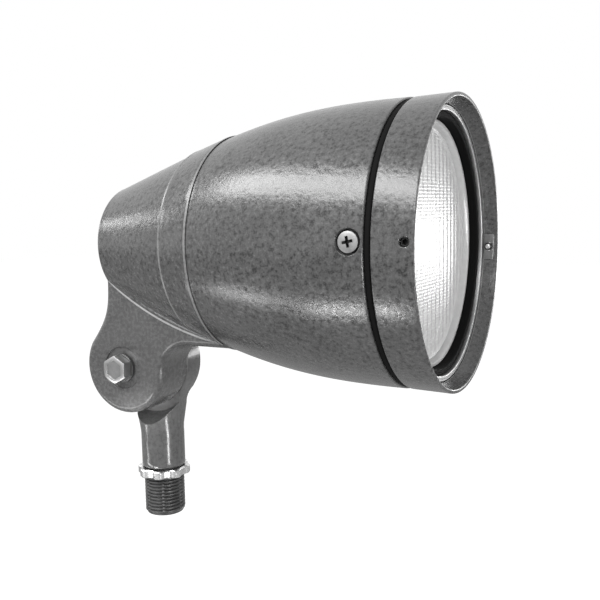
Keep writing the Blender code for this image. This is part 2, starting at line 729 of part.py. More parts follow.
def side_ways():
    """The two ways out through the sides of the head, as names and rotations."""
    ways = []
    for name, turn in (("near", 1), ("far", -1)):
        round_beam = Matrix.Rotation(math.radians(SIDE_TURN), 3, "Z")
        out = Matrix.Rotation(turn * math.pi / 2, 3, "X")
        ways.append((name, (round_beam @ out).to_euler()))
    return ways


def plate_screw_turns():
    return [60 + 360 * i // PLATE_SCREW_COUNT for i in range(PLATE_SCREW_COUNT)]


def plate_screw_at(turn):
    outer, radius_at = housing_outline()
    chamber = radius_at(LEDGE_FRONT) - WALL
    ring = chamber - LEDGE_W / 2
    return ring * math.cos(math.radians(turn)), ring * math.sin(math.radians(turn))


def build_hood(radius_at):
    inner_wall = HOOD_R - HOOD_WALL + PAD_SINK
    seat_r = LENS_R - SEAT_LIP
    pocket_r = LENS_GASKET_R + CLEAR
    ring_seat = RING_R + CLEAR
    profile = [(MOUTH_R, HOOD_FRONT), (HOOD_R - 0.0004, HOOD_FRONT), (HOOD_R, HOOD_FRONT - 0.0005),
               (FRONT_R, HOOD_BACK), (SPIGOT_R, HOOD_BACK), (SPIGOT_R, SPIGOT_BACK + 0.0006),
               (SPIGOT_R - 0.0006, SPIGOT_BACK), (SPIGOT_R - SPIGOT_T, SPIGOT_BACK),
               (SPIGOT_R - SPIGOT_T, SEAT_BACK), (seat_r, SEAT_BACK), (seat_r, SEAT_FRONT),
               (pocket_r, SEAT_FRONT), (pocket_r, RING_BACK - CLEAR),
               (ring_seat, RING_BACK - CLEAR), (ring_seat, RING_BACK + RING_LEN)]
    hood = turned("front_hood", profile, PAINT, BEAM, steps=BODY_STEPS)
    gasket_r = radius_at(SEAM_X) - GASKET_SINK
    tube("seam_gasket", gasket_r, SPIGOT_R + CLEAR, SEAM_X + CLEAR, HOOD_BACK - CLEAR,
         mat=RUBBER, parent=BEAM, steps=BODY_STEPS)

    set_at = SET_SCREW_X
    for name, side in side_ways():
        pad_back = RING_BACK + RING_LEN + CLEAR
        pad_front = set_at + PAD_FRONT
        pad_low = inner_wall - PAD_T
        pad_high = HOOD_R - HOOD_WALL / 2
        out = Euler(side).to_matrix() @ Vector((0, 0, (pad_low + pad_high) / 2))
        pad = block("pad_" + name, (2 * PAD_HALF, pad_front - pad_back, pad_high - pad_low),
                    parent=BEAM, cutter=True, rotation=side,
                    location=out + Vector((0, 0, (pad_front + pad_back) / 2)))
        join(hood, pad)
        outer_face = HOOD_R - SET_SCREW_SINK
        hole = rod("set_hole_" + name, SET_SCREW_R + SCREW_CLEAR, RING_R - 0.004, HOOD_R + 0.002,
                   parent=BEAM, location=(0, 0, set_at), rotation=side, steps=16, cutter=True)
        cut(hood, hole)
        rod("set_screw_" + name, SET_SCREW_R, outer_face - SET_SCREW_LEN, outer_face, 0.0003,
            mat=STEEL, parent=BEAM, location=(0, 0, set_at), rotation=side, steps=16)

        at = (0, 0, SEAM_X - HOOD_SCREW_BACK)
        top = radius_at(SEAM_X - HOOD_SCREW_BACK) - HOOD_SCREW_SINK
        low = top - HOOD_SCREW_HEAD_T
        pilot = rod("spigot_pilot_" + name, HOOD_SCREW_R + SCREW_CLEAR,
                    SPIGOT_R - SPIGOT_T - 0.002, SPIGOT_R + 0.002, parent=BEAM, location=at,
                    rotation=side, steps=16, cutter=True)
        cut(hood, pilot)
        head = [(0, top + 0.0003), (HOOD_SCREW_HEAD_R * 0.55, top + 0.0001),
                (HOOD_SCREW_HEAD_R * 0.88, top - 0.0006), (HOOD_SCREW_HEAD_R, top - 0.0014),
                (HOOD_SCREW_HEAD_R, low), (HOOD_SCREW_R, low),
                (HOOD_SCREW_R, low - HOOD_SCREW_LEN), (0, low - HOOD_SCREW_LEN)]
        turned("hood_screw_" + name, head, STEEL, BEAM, at, side, steps=SMALL_STEPS)


def build_lens():
    rise = LENS_FACE_SINK
    lens = [(0, LENS_FRONT - rise + 0.0006), (LENS_FACE_R * 0.6, LENS_FRONT - rise + 0.0004),
            (LENS_FACE_R, LENS_FRONT - rise), (LENS_FACE_R + 0.0012, LENS_FRONT),
            (LENS_R, LENS_FRONT), (LENS_R, LENS_BACK), (0, LENS_BACK)]
    turned("lens", lens, GLASS, BEAM, steps=BODY_STEPS)
    gasket_low = SEAT_FRONT + CLEAR
    tube("lens_gasket", LENS_GASKET_R, LENS_R + CLEAR, gasket_low,
         SEAT_FRONT + LENS_GASKET_LEN, 0.0, mat=RUBBER, parent=BEAM, steps=BODY_STEPS)
    tube("lens_ring", RING_R, LENS_GASKET_R + CLEAR, RING_BACK, RING_BACK + RING_LEN,
         mat=ALUMINIUM, parent=BEAM, steps=BODY_STEPS)


def build_light_engine():
    flange_back = FLANGE_FRONT - REFLECTOR_T
    throat = REFLECTOR_THROAT_R
    mouth = REFLECTOR_MOUTH_R
    bowl = []
    for i in range(6):
        t = i / 5
        bowl.append((throat + (mouth - throat) * math.sqrt(t),
                     REFLECTOR_BACK + (FLANGE_FRONT - REFLECTOR_BACK) * t))
    outside = [(r + REFLECTOR_T, z) for r, z in bowl[:-1]]
    outside = [(r, min(z, flange_back - 0.0008)) for r, z in outside]
    profile = bowl + [(mouth + REFLECTOR_FLANGE, FLANGE_FRONT),
                      (mouth + REFLECTOR_FLANGE, flange_back),
                      (mouth + REFLECTOR_T, flange_back)] + outside[::-1]
    turned("reflector", profile, MIRROR, BEAM, steps=32)

    rod("led_emitter", EMITTER_R, BOARD_FRONT + CLEAR, BOARD_FRONT + CLEAR + EMITTER_T,
        mat=PHOSPHOR, parent=BEAM, steps=SMALL_STEPS)
    board = rod("led_board", BOARD_R, BOARD_BACK, BOARD_FRONT, mat=BOARD, parent=BEAM, steps=36)

    plate_r = plate_radius()
    heat = rod("heat_plate", plate_r, PLATE_BACK, PLATE_FRONT, mat=ALUMINIUM, parent=BEAM,
               steps=BODY_STEPS)
    for i in range(FIN_COUNT):
        offset = (i - (FIN_COUNT - 1) / 2) * FIN_PITCH
        fin = block("fin_%d" % i, (2 * FIN_HALF, FIN_T, FIN_LEN + 0.001), parent=BEAM,
                    location=(0, offset, PLATE_BACK - FIN_LEN / 2 + 0.0005), cutter=True)
        join(heat, fin)

    for i, turn in enumerate(plate_screw_turns()):
        x, y = plate_screw_at(turn)
        hole = rod("plate_hole_%d" % i, PLATE_SCREW_R + SCREW_CLEAR, PLATE_BACK - 0.001,
                   PLATE_FRONT + 0.001, parent=BEAM, location=(x, y, 0), steps=12, cutter=True)
        cut(heat, hole)
        low = PLATE_FRONT + CLEAR
        shape = [(0, low + PLATE_SCREW_HEAD_T), (PLATE_SCREW_HEAD_R * 0.8, low + PLATE_SCREW_HEAD_T),
                 (PLATE_SCREW_HEAD_R, low + PLATE_SCREW_HEAD_T * 0.5), (PLATE_SCREW_HEAD_R, low),
                 (PLATE_SCREW_R, low), (PLATE_SCREW_R, low - PLATE_SCREW_LEN),
                 (0, low - PLATE_SCREW_LEN)]
        turned("plate_screw_%d" % (i + 1), shape, STEEL, BEAM, (x, y, 0), steps=12)

    for i, sign in enumerate((1, -1)):
        y = sign * BOARD_SCREW_AT
        hole = rod("board_hole_%d" % i, BOARD_SCREW_R + SCREW_CLEAR,
                   BOARD_FRONT - BOARD_SCREW_LEN - CLEAR, BOARD_FRONT + 0.001, parent=BEAM,
                   location=(0, y, 0), steps=12, cutter=True)
        cut(heat, hole)
        cut(board, hole)
        low = BOARD_FRONT + CLEAR
        shape = [(0, low + BOARD_SCREW_HEAD_T), (BOARD_SCREW_HEAD_R * 0.8, low + BOARD_SCREW_HEAD_T),
                 (BOARD_SCREW_HEAD_R, low + BOARD_SCREW_HEAD_T * 0.5), (BOARD_SCREW_HEAD_R, low),
                 (BOARD_SCREW_R, low), (BOARD_SCREW_R, low - BOARD_SCREW_LEN),
                 (0, low - BOARD_SCREW_LEN)]
        turned("board_screw_%d" % (i + 1), shape, STEEL, BEAM, (0, y, 0), steps=12)

    for i, sign in enumerate((1, -1)):
        rod("standoff_%d" % (i + 1), STANDOFF_R, STANDOFF_BACK, STANDOFF_FRONT, mat=STEEL,
            parent=BEAM, location=(0, sign * STANDOFF_AT, 0), steps=12)
    rod("driver_plate", DRIVER_PLATE_R, DRIVER_PLATE_BACK, DRIVER_PLATE_BACK + DRIVER_PLATE_T,
        mat=STEEL, parent=BEAM, steps=36)
    block("driver", (DRIVER_H, DRIVER_W, DRIVER_LEN), DRIVER_CASE, BEAM,
          (0, 0, DRIVER_FRONT - DRIVER_LEN / 2), bevel=DRIVER_ROUND)


def plate_radius():
    outer, radius_at = housing_outline()
    return radius_at(LEDGE_FRONT) - WALL - PLATE_EDGE_GAP


def build():
    build_stub()
    build_arm()
    build_bolt()
    radius_at = build_housing()
    build_hood(radius_at)
    build_lens()
    build_light_engine()


build()
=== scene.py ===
"""Looks of the bullet-shaped LED floodlight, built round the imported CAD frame.

Everything is in metres in the CAD frame: the origin is the centre of the stub's lower end,
+Z is up, +X is the way the light points, and the bolt head is on the -Y side.
"""

import math

import bmesh
import bpy
from mathutils import Matrix, Vector


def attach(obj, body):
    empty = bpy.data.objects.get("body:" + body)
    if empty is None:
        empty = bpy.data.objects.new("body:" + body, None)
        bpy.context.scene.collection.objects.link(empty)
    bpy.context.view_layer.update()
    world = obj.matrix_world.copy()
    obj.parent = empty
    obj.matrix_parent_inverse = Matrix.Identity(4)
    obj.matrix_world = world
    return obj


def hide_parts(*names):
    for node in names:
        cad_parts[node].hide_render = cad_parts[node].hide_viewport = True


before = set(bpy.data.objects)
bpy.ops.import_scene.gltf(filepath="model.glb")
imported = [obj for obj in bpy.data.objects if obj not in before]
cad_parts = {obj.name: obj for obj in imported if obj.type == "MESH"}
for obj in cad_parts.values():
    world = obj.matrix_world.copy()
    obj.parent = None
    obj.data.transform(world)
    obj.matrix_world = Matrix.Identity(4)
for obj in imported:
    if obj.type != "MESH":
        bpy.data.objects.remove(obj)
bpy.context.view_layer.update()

# Sizes shared with the CAD source, under the same names
CLEAR = 0.0003
STUB_R = 0.01065
STUB_LEN = 0.0257
WIRE_R = 0.0060
STEM_SPIGOT_STEP = 0.00245
STEM_SPIGOT_LEN = 0.0120
NUT_WALL = 0.00145
NUT_TOOTH = 0.0016
NUT_NOTCHES = 8
NUT_DROP = 0.0004
NUT_T = 0.0045
PIVOT_X = -0.0056
PIVOT_Z = 0.0827
KNUCKLE_R = 0.0241
MATE_Y = -0.0010
LUG_T = 0.0229
ARM_T = 0.0134
ARM_STEP = 0.00085
ARM_FILLET_R = 0.0170
ARM_REAR_FILLET_R = 0.0300
ARM_BLEND_SINK = 0.0010
ARM_BORE_LEN = 0.0170
SCOOP_GAP = 0.0039
SCOOP_FLARE = 0.0040
SCOOP_SHIFT = 0.0045
STEM_FLARE = 0.0055
STEM_LEAN = 0.0028
FLARE_DROP = 0.0387
BELL_DROP = 0.0235
BELL_R = 0.0113
LUG_FILLET_R = 0.0155
WEB_RISE = 0.0135
WEB_X = 0.0600
WEB_SINK = 0.0120
NECK_RISE = 0.0370
NECK_STEP = 0.0015
NECK_LAP = 0.0070
NECK_SAG = 0.0060
NECK_PULL = 0.0100
POCKET_DEPTH = 0.0120
ARM_POCKET_DEPTH = 0.0095
POCKET_WALL = 0.0026
BOSS_WALL = 0.0035
ORING_WIRE_R = 0.0010
ORING_SINK = 0.0023
ORING_EDGE = 0.0052
BOLT_R = 0.0040
BOLT_AF = 0.0127
BOLT_HEAD_T = 0.0056
BOLT_NUT_T = 0.0067
BOLT_TAIL = 0.0022
WASHER_T = 0.0016
WASHER_LAND = 0.00115
SPOT_MARGIN = 0.0035
SPOT_DEPTH = 0.0008
HEAD_RISE = 0.0625
REAR_X = -0.0160
REAR_DOME = 0.0035
REAR_FLAT_R = 0.0190
REAR_R = 0.0297
REAR_WALL = 0.0040
CONE_ANGLE = 18.8
CONE_PULL = 0.0790
FRONT_PULL = 0.0600
SEAM_X = 0.1446
FRONT_R = 0.0639
WALL = 0.0032
BAND_X = 0.0375
BAND_LEN = 0.0180
BAND_RISE = 0.0006
BAND_EDGE = 0.0008
GASKET_T = 0.0031
GASKET_SINK = 0.0007
HOOD_LEN = 0.0175
HOOD_FLARE = 0.0006
HOOD_WALL = 0.0043
LIP_T = 0.0018
SPIGOT_STEP = 0.0047
SPIGOT_T = 0.0032
SPIGOT_LEN = 0.0177
LENS_SINK = 0.0122
LENS_FACE_SINK = 0.0027
LENS_T = 0.0060
LENS_RIM = 0.0031
LENS_GASKET_T = 0.0026
LENS_GASKET_LEN = 0.0103
RING_T = 0.0024
RING_LEN = 0.0036
RING_PROUD = 0.0015
SEAT_LIP = 0.0046
SEAT_T = 0.0030
SIDE_TURN = -3.7
HOOD_SCREW_BACK = 0.0062
HOOD_SCREW_HEAD_T = 0.0026
HOOD_SCREW_R = 0.0022
HOOD_SCREW_SINK = 0.0002
HOOD_SCREW_LEN = 0.0080
SET_SCREW_R = 0.0018
SET_SCREW_LEN = 0.0052
SET_SCREW_SINK = 0.0014
SET_SCREW_GAP = 0.0009
PAD_T = 0.0012
PAD_SINK = 0.0009
PAD_HALF = 0.0065
PAD_FRONT = 0.0024
REFLECTOR_T = 0.0012
REFLECTOR_THROAT_R = 0.0120
REFLECTOR_LEN = 0.0390
REFLECTOR_FLANGE = 0.0048
REFLECTOR_EDGE_GAP = 0.0027

STEM_SPIGOT_R = STUB_R - STEM_SPIGOT_STEP
ARM_R = STUB_R + ARM_STEP
NUT_ROOT_R = STUB_R + CLEAR + NUT_WALL
NUT_R = NUT_ROOT_R + NUT_TOOTH
BOSS_R = BOLT_R + CLEAR + BOSS_WALL
ORING_R = KNUCKLE_R - ORING_EDGE
POCKET_R = ORING_R - ORING_WIRE_R - CLEAR - POCKET_WALL
SCOOP_R = KNUCKLE_R + SCOOP_GAP
SPOT_R = BOLT_AF / 2 + WASHER_LAND + SPOT_MARGIN
AXIS_Z = PIVOT_Z + HEAD_RISE
CONE_X = REAR_X + REAR_DOME
NECK_X = REAR_X + NECK_STEP
HOOD_R = FRONT_R + HOOD_FLARE
SPIGOT_R = FRONT_R - SPIGOT_STEP
HOOD_BACK = SEAM_X + GASKET_T
HOOD_FRONT = HOOD_BACK + HOOD_LEN
BORE_R = SPIGOT_R + CLEAR
SPIGOT_BACK = HOOD_BACK - SPIGOT_LEN
LENS_FRONT = HOOD_FRONT - LENS_SINK
LENS_BACK = LENS_FRONT - LENS_T
RING_R = HOOD_R - HOOD_WALL - CLEAR
LENS_GASKET_R = RING_R - RING_T - CLEAR
LENS_R = LENS_GASKET_R - LENS_GASKET_T - CLEAR
LENS_FACE_R = LENS_R - LENS_RIM
SEAT_FRONT = LENS_BACK - CLEAR
SEAT_BACK = SEAT_FRONT - SEAT_T
RING_BACK = SEAT_FRONT + LENS_GASKET_LEN + RING_PROUD - RING_LEN
RING_FRONT = RING_BACK + RING_LEN
SET_SCREW_X = RING_FRONT + SET_SCREW_GAP + SET_SCREW_R
REFLECTOR_MOUTH_R = SPIGOT_R - SPIGOT_T - REFLECTOR_EDGE_GAP - REFLECTOR_FLANGE
FLANGE_FRONT = SEAT_BACK - CLEAR
REFLECTOR_BACK = FLANGE_FRONT - REFLECTOR_LEN
LUG_INNER = MATE_Y - CLEAR / 2
LUG_OUTER = LUG_INNER - LUG_T
ARM_INNER = MATE_Y + CLEAR / 2
ARM_OUTER = ARM_INNER + ARM_T

# Sizes of the scene's own: what the photo shows beyond the CAD, and fine detail
SEEN_HEAD_R = 0.0043
SEEN_GAP = 0.0007
LUG_ROUND = 0.0034
ARM_ROUND = 0.0022
MATE_ROUND = 0.0011
SCOOP_OPENING = 0.0050
FOOT_ROUND = 0.0008
ROOT_START = -0.0128
ROOT_LEN = 0.0665
ROOT_DEPTH = 0.0034
ROOT_LEAST = 0.0003
ROOT_BEAD = 0.0005
BAND_BEAD = 0.0006
SKIN_LIFT = 0.00008
FLUTE_PITCH = 0.0058
FLUTE_DEPTH = 0.00038
ROW_PITCH = 0.0015
THREAD_PITCH = 0.0254 / 14
THREAD_DEPTH = 0.0009
SOCKET_R = 0.00125
SOCKET_DEPTH = 0.0026
# How much smaller the finely stepped discs are, to stay within the CAD's box
DISC_SLACK = 0.00004
# How far a cutter reaches past the face that it opens
OVERCUT = 0.0020

BEAM = Matrix.Translation((0, 0, AXIS_Z)) @ Matrix.Rotation(math.pi / 2, 4, "Y")
PIVOT = Matrix.Translation((PIVOT_X, 0, PIVOT_Z)) @ Matrix.Rotation(math.pi / 2, 4, "X")
SIDES = (("near", 1), ("far", -1))
FINE = 160
RIM_STEPS = 6
WELD_GAP = 0.00001


# Mesh helpers

def solid(name, mesh):
    item = bpy.data.objects.new(name, mesh)
    bpy.context.scene.collection.objects.link(item)
    return item


def finish_mesh(item, angle=35):
    """Smooth shading, with sharp edges above an angle in degrees."""
    item.data.shade_smooth()
    item.data.set_sharp_from_angle(angle=math.radians(angle))
    return item


def to_mesh(name, work):
    mesh = bpy.data.meshes.new(name)
    work.to_mesh(mesh)
    work.free()
    return mesh


def closed_mesh(name, work):
    """The mesh of a closed surface, with its faces turned outwards."""
    bmesh.ops.recalc_face_normals(work, faces=work.faces)
    return to_mesh(name, work)


def lathe(name, profile, steps=FINE, matrix=None, wave=None):
    """Turn closed (radius, height) points about Z into a closed surface."""
    work = bmesh.new()
    rings = []
    for r, z in profile:
        if r <= 0:
            rings.append([work.verts.new((0, 0, z))])
            continue
        ring = []
        for i in range(steps):
            a = math.tau * i / steps
            x, y = r * math.cos(a), r * math.sin(a)
            ring.append(work.verts.new((x, y, z + (wave(y, r) if wave else 0))))
        rings.append(ring)
    pairs = list(zip(rings, rings[1:]))
    if profile[0][0] > 0 and profile[-1][0] > 0:
        pairs.append((rings[-1], rings[0]))
    for one, two in pairs:
        for i in range(steps):
            j = (i + 1) % steps
            corners = [one[i % len(one)], one[j % len(one)], two[j % len(two)], two[i % len(two)]]
            unique = []
            for v in corners:
                if v not in unique:
                    unique.append(v)
            if len(unique) > 2:
                work.faces.new(unique)
    mesh = closed_mesh(name, work)
    if matrix is not None:
        mesh.transform(matrix)
    return finish_mesh(solid(name, mesh))


def wrap(name, lines, angle):
    """Closed (radius, height) lines, set evenly round Z and joined into a ring."""
    work = bmesh.new()
    grid = []
    for i, line in enumerate(lines):
        a = math.tau * i / len(lines)
        grid.append([work.verts.new((r * math.cos(a), r * math.sin(a), z)) for r, z in line])
    count = len(grid[0])
    for one, two in zip(grid, grid[1:] + grid[:1]):
        for k in range(count):
            j = (k + 1) % count
            work.faces.new((one[k], two[k], two[j], one[j]))
    return finish_mesh(solid(name, closed_mesh(name, work)), angle)


def bridge(work, rings):
    """Faces between each ring of vertices and the next."""
    count = len(rings[0])
    for one, two in zip(rings, rings[1:]):
        for i in range(count):
            j = (i + 1) % count
            work.faces.new((one[i], one[j], two[j], two[i]))


def sweep(name, rings):
    """A closed skin through rings of points, capped at both ends."""
    work = bmesh.new()
    rows = [[work.verts.new(p) for p in ring] for ring in rings]
    bridge(work, rows)
    work.faces.new(rows[0])
    work.faces.new(rows[-1])
    return finish_mesh(solid(name, closed_mesh(name, work)))


def inset(outline, amount):
    """The outline moved inwards by an amount, square to its own edges."""
    count, sharpest = len(outline), 0.5
    moved = []
    for i in range(count):
        here = Vector(outline[i])
        one = (here - Vector(outline[i - 1])).normalized()
        two = (Vector(outline[(i + 1) % count]) - here).normalized()
        along = (one + two).normalized()
        reach = amount / max(sharpest, along.dot(one))
        moved.append((here.x - along.y * reach, here.y + along.x * reach))
    return moved


def slab(name, outline, y0, y1, round0, round1):
    """An anticlockwise X-Z outline between two Y planes, with rounded rims of given radii."""
    turns = [math.pi / 2 * i / RIM_STEPS for i in range(RIM_STEPS + 1)]
    rims = [(y0 + round0 * (1 - math.cos(a)), round0 * (1 - math.sin(a))) for a in turns]
    rims += [(y1 - round1 * (1 - math.cos(a)), round1 * (1 - math.sin(a))) for a in turns[::-1]]
    return sweep(name, [[(x, y, z) for x, z in inset(outline, shrink)] for y, shrink in rims])


def apply_modifiers(item):
    bpy.context.view_layer.update()
    graph = bpy.context.evaluated_depsgraph_get()
    mesh = bpy.data.meshes.new_from_object(item.evaluated_get(graph))
    item.modifiers.clear()
    item.data = mesh


def combine(item, operation, *others):
    """Join, cut or intersect a piece with others, which are used up."""
    for other in others:
        step = item.modifiers.new(other.name, "BOOLEAN")
        step.operation = operation
        step.object = other
        step.solver = "EXACT"
        weld = item.modifiers.new(other.name + "_weld", "WELD")
        weld.merge_threshold = WELD_GAP
        apply_modifiers(item)
        bpy.data.objects.remove(other, do_unlink=True)
    return finish_mesh(item)


def arc(cx, cy, radius, start, end, count):
    angles = [math.radians(start + (end - start) * i / count) for i in range(count + 1)]
    return [(cx + radius * math.cos(a), cy + radius * math.sin(a)) for a in angles]


def bezier(p0, p1, p2, p3, count):
    points = []
    for i in range(count + 1):
        t = i / count
        weights = ((1 - t) ** 3, 3 * t * (1 - t) ** 2, 3 * t * t * (1 - t), t ** 3)
        points.append(tuple(sum(w * p[k] for w, p in zip(weights, (p0, p1, p2, p3)))
                            for k in (0, 1)))
    return points


def rod(name, radius, low, high, steps=64, matrix=None, chamfer=0.0):
    if chamfer:
        profile = [(0, high), (radius - chamfer, high), (radius, high - chamfer),
                   (radius, low + chamfer), (radius - chamfer, low), (0, low)]
    else:
        profile = [(0, high), (radius, high), (radius, low), (0, low)]
    return lathe(name, profile, steps, matrix)


def tube(name, outer, inner, low, high, steps, matrix):
    return lathe(name, [(inner, high), (outer, high), (outer, low), (inner, low)], steps, matrix)


def rounded(points, radius, count):
    """Replace each inner corner of a profile by a short arc-like curve."""
    result, most = [points[0]], 0.45
    for before, here, after in zip(points, points[1:], points[2:]):
        a, b, c = Vector(before), Vector(here), Vector(after)
        back = min(radius, (a - b).length * most)
        ahead = min(radius, (c - b).length * most)
        start = b + (a - b).normalized() * back
        stop = b + (c - b).normalized() * ahead
        for i in range(count + 1):
            t = i / count
            p = start * (1 - t) ** 2 + b * 2 * t * (1 - t) + stop * t * t
            result.append((p.x, p.y))
    result.append(points[-1])
    return result


def hex_bar(name, flats, low, high, chamfer, both=False):
    """A hexagonal bar along Z, with its top end chamfered or both."""
    flat_edge, corner_spare = 0.0003, 0.0004
    corners = [(flats / math.sqrt(3) * math.cos(math.radians(30 + 60 * i)),
                flats / math.sqrt(3) * math.sin(math.radians(30 + 60 * i))) for i in range(6)]
    work = bmesh.new()
    ends = [[work.verts.new((x, y, z)) for x, y in corners] for z in (high, low)]
    work.faces.new(ends[0])
    work.faces.new(ends[1])
    bridge(work, ends)
    bar = solid(name, closed_mesh(name, work))
    corner = flats / math.sqrt(3) + corner_spare
    profile = [(0, high), (flats / 2 - flat_edge, high), (corner, high - chamfer)]
    if both:
        profile += [(corner, low + chamfer), (flats / 2 - flat_edge, low), (0, low)]
    else:
        profile += [(corner, low - OVERCUT / 2), (0, low - OVERCUT / 2)]
    return combine(bar, "INTERSECT", lathe("cap", profile, 96))


def side_matrix(turn, station):
    """Own Z points out of the head's side at a station along the beam."""
    turned = Matrix.Rotation(math.radians(SIDE_TURN), 4, "Z")
    out = Matrix.Rotation(turn * math.pi / 2, 4, "X")
    return BEAM @ Matrix.Translation((0, 0, station)) @ turned @ out


# Material helpers

# The range that holds most of a noise
NOISE_LOW, NOISE_HIGH = 0.3, 0.7
BEVEL_SAMPLES = 6


class Tree:
    """Short ways to make and join nodes."""

    def __init__(self, tree):
        self.tree = tree

    def put(self, slot, value):
        if isinstance(value, bpy.types.NodeSocket):
            self.tree.links.new(value, slot)
        else:
            slot.default_value = value

    def fill(self, node, **inputs):
        """Give a node's inputs plain values or sources."""
        for key, value in inputs.items():
            self.put(node.inputs[key.replace("_", " ")], value)
        return node

    def add(self, kind, **inputs):
        return self.fill(self.tree.nodes.new(kind), **inputs)

    def maths(self, operation, *values):
        node = self.add("ShaderNodeMath")
        node.operation = operation
        for slot, value in zip(node.inputs, values):
            self.put(slot, value)
        return node.outputs[0]


class Nodes(Tree):
    """The nodes of a new material."""

    def __init__(self, name):
        self.material = bpy.data.materials.new(name)
        self.material.use_nodes = True
        super().__init__(self.material.node_tree)
        self.shader = self.tree.nodes["Principled BSDF"]
        self.coords = self.add("ShaderNodeTexCoord").outputs["Object"]

    def set(self, **inputs):
        """Give the material's own shader plain values or sources."""
        self.fill(self.shader, **inputs)

    def noise(self, scale, detail, rough):
        return self.add("ShaderNodeTexNoise", Vector=self.coords, Scale=scale, Detail=detail,
                        Roughness=rough).outputs["Fac"]

    def ramp(self, source, *stops):
        """A grey or a colour at each (place, value) stop along a source."""
        node = self.add("ShaderNodeValToRGB", Fac=source)
        ends = node.color_ramp.elements
        while len(ends) < len(stops):
            ends.new(0.5)
        for end, (place, value) in zip(ends, stops):
            end.position = place
            colour = value if isinstance(value, tuple) else (value, value, value)
            end.color = (*colour, 1.0)
        return node.outputs["Color"]

    def tint(self, noise, low, high):
        return self.ramp(noise, (NOISE_LOW, low), (NOISE_HIGH, high))

    def spread(self, noise, low, high):
        return self.add("ShaderNodeMapRange", Value=noise, From_Min=NOISE_LOW,
                        From_Max=NOISE_HIGH, To_Min=low, To_Max=high).outputs["Result"]

    def blend(self, one, two, share):
        """A share of one value and the rest of another."""
        return self.maths("ADD", self.maths("MULTIPLY", one, share),
                          self.maths("MULTIPLY", two, 1 - share))

    def multiply(self, one, two):
        """The product of two colours, on the Mix node's colour sockets."""
        factor, first, second, result = 0, 6, 7, 2
        node = self.add("ShaderNodeMix")
        node.data_type = "RGBA"
        node.blend_type = "MULTIPLY"
        for slot, value in ((factor, 1.0), (first, one), (second, two)):
            self.put(node.inputs[slot], value)
        return node.outputs[result]

    def bump(self, height, distance, strength, edge=0.0):
        """Relief of a given distance, over edges softened within a radius."""
        node = self.add("ShaderNodeBump", Strength=strength, Distance=distance, Height=height)
        if edge:
            soft = self.add("ShaderNodeBevel", Radius=edge)
            soft.samples = BEVEL_SAMPLES
            self.fill(node, Normal=soft.outputs["Normal"])
        self.set(Normal=node.outputs["Normal"])


def paint(name, dark, light, roughness, relief, edge):
    """Grey hammered paint: small blotches in tone and height over cast metal."""
    m = Nodes(name)
    grain = m.noise(1700, 3.0, 0.65)
    blotch = m.noise(540, 2.5, 0.55)
    dimple = m.noise(380, 2.0, 0.5)
    cloud = m.noise(45, 2.0, 0.5)
    tone = m.blend(grain, blotch, 0.45)
    colour = m.ramp(tone, (0.38, dark), (0.49, 0.3 * dark + 0.7 * light), (0.62, light))
    m.set(Base_Color=m.multiply(colour, m.tint(cloud, 0.88, 1.08)),
          Roughness=m.spread(blotch, roughness - 0.06, roughness + 0.10))
    m.bump(m.blend(tone, dimple, 0.4), relief, 1.0, edge)
    return m.material


def metal(name, colour, roughness, grain=0.05, metallic=1.0):
    """Metal with broad changes in tone and a fine grain."""
    m = Nodes(name)
    fine = m.noise(2400, 3.0, 0.6)
    broad = m.noise(260, 3.0, 0.55)
    low = tuple(c * (1 - grain * 2.2) for c in colour)
    high = tuple(min(1.0, c * (1 + grain)) for c in colour)
    m.set(Metallic=metallic, Base_Color=m.tint(broad, low, high),
          Roughness=m.spread(fine, roughness - 0.07, roughness + 0.09))
    m.bump(fine, 0.00003, 0.6, 0.00015)
    return m.material


def rubber(name, value, roughness):
    m = Nodes(name)
    fine = m.noise(1900, 3.0, 0.6)
    m.set(Specular_IOR_Level=0.08, Base_Color=m.tint(fine, value * 0.7, value * 1.4),
          Roughness=m.spread(fine, roughness - 0.08, roughness + 0.08))
    m.bump(fine, 0.00004, 0.7)
    return m.material


def plain(name, colour, roughness):
    """A plain finish with slight changes in tone."""
    m = Nodes(name)
    fine = m.noise(1200, 3.0, 0.6)
    change = 0.06
    low = tuple(c * (1 - change) for c in colour)
    high = tuple(min(1.0, c * (1 + change)) for c in colour)
    m.set(Base_Color=m.tint(fine, low, high),
          Roughness=m.spread(fine, roughness - 0.06, roughness + 0.06))
    m.bump(fine, 0.00002, 0.5)
    return m.material


def lens_glass():
    """Lightly frosted glass pressed with fine rows across its flutes."""
    m = Nodes("lens_glass")
    split = m.add("ShaderNodeSeparateXYZ", Vector=m.coords)
    rows = m.maths("SINE", m.maths("MULTIPLY", split.outputs["Z"], math.tau / ROW_PITCH))
    haze = m.noise(300, 2.0, 0.5)
    m.set(IOR=1.50, Transmission_Weight=0.35, Base_Color=m.tint(haze, 0.66, 0.72),
          Roughness=m.spread(haze, 0.16, 0.26))
    m.bump(rows, 0.000025, 0.6)
    return m.material


# Paints: dark tone, light tone, roughness, relief and the radius that softens edges
PAINT = paint("hammered_grey_paint", 0.026, 0.092, 0.20, 0.00019, 0.0006)
# A lighter paint for the lug root's edge bead: a painted highlight line along the crease
HIGHLIGHT_EDGE_PAINT = paint("painted_highlight_edge", 0.230, 0.320, 0.30, 0.00004, 0.0002)
# A lighter paint for the band's edge beads and the pads inside the hood: painted highlight and
# painted sheen
SHEEN_PAINT = paint("painted_sheen_paint", 0.120, 0.190, 0.30, 0.00006, 0.0002)
ARM_PAINT = paint("smooth_grey_paint", 0.070, 0.108, 0.17, 0.00003, 0.0006)
LUG_PAINT = paint("smooth_cast_paint", 0.054, 0.095, 0.24, 0.00010, 0.0006)
RUBBER = rubber("black_rubber_seal", 0.004, 0.75)
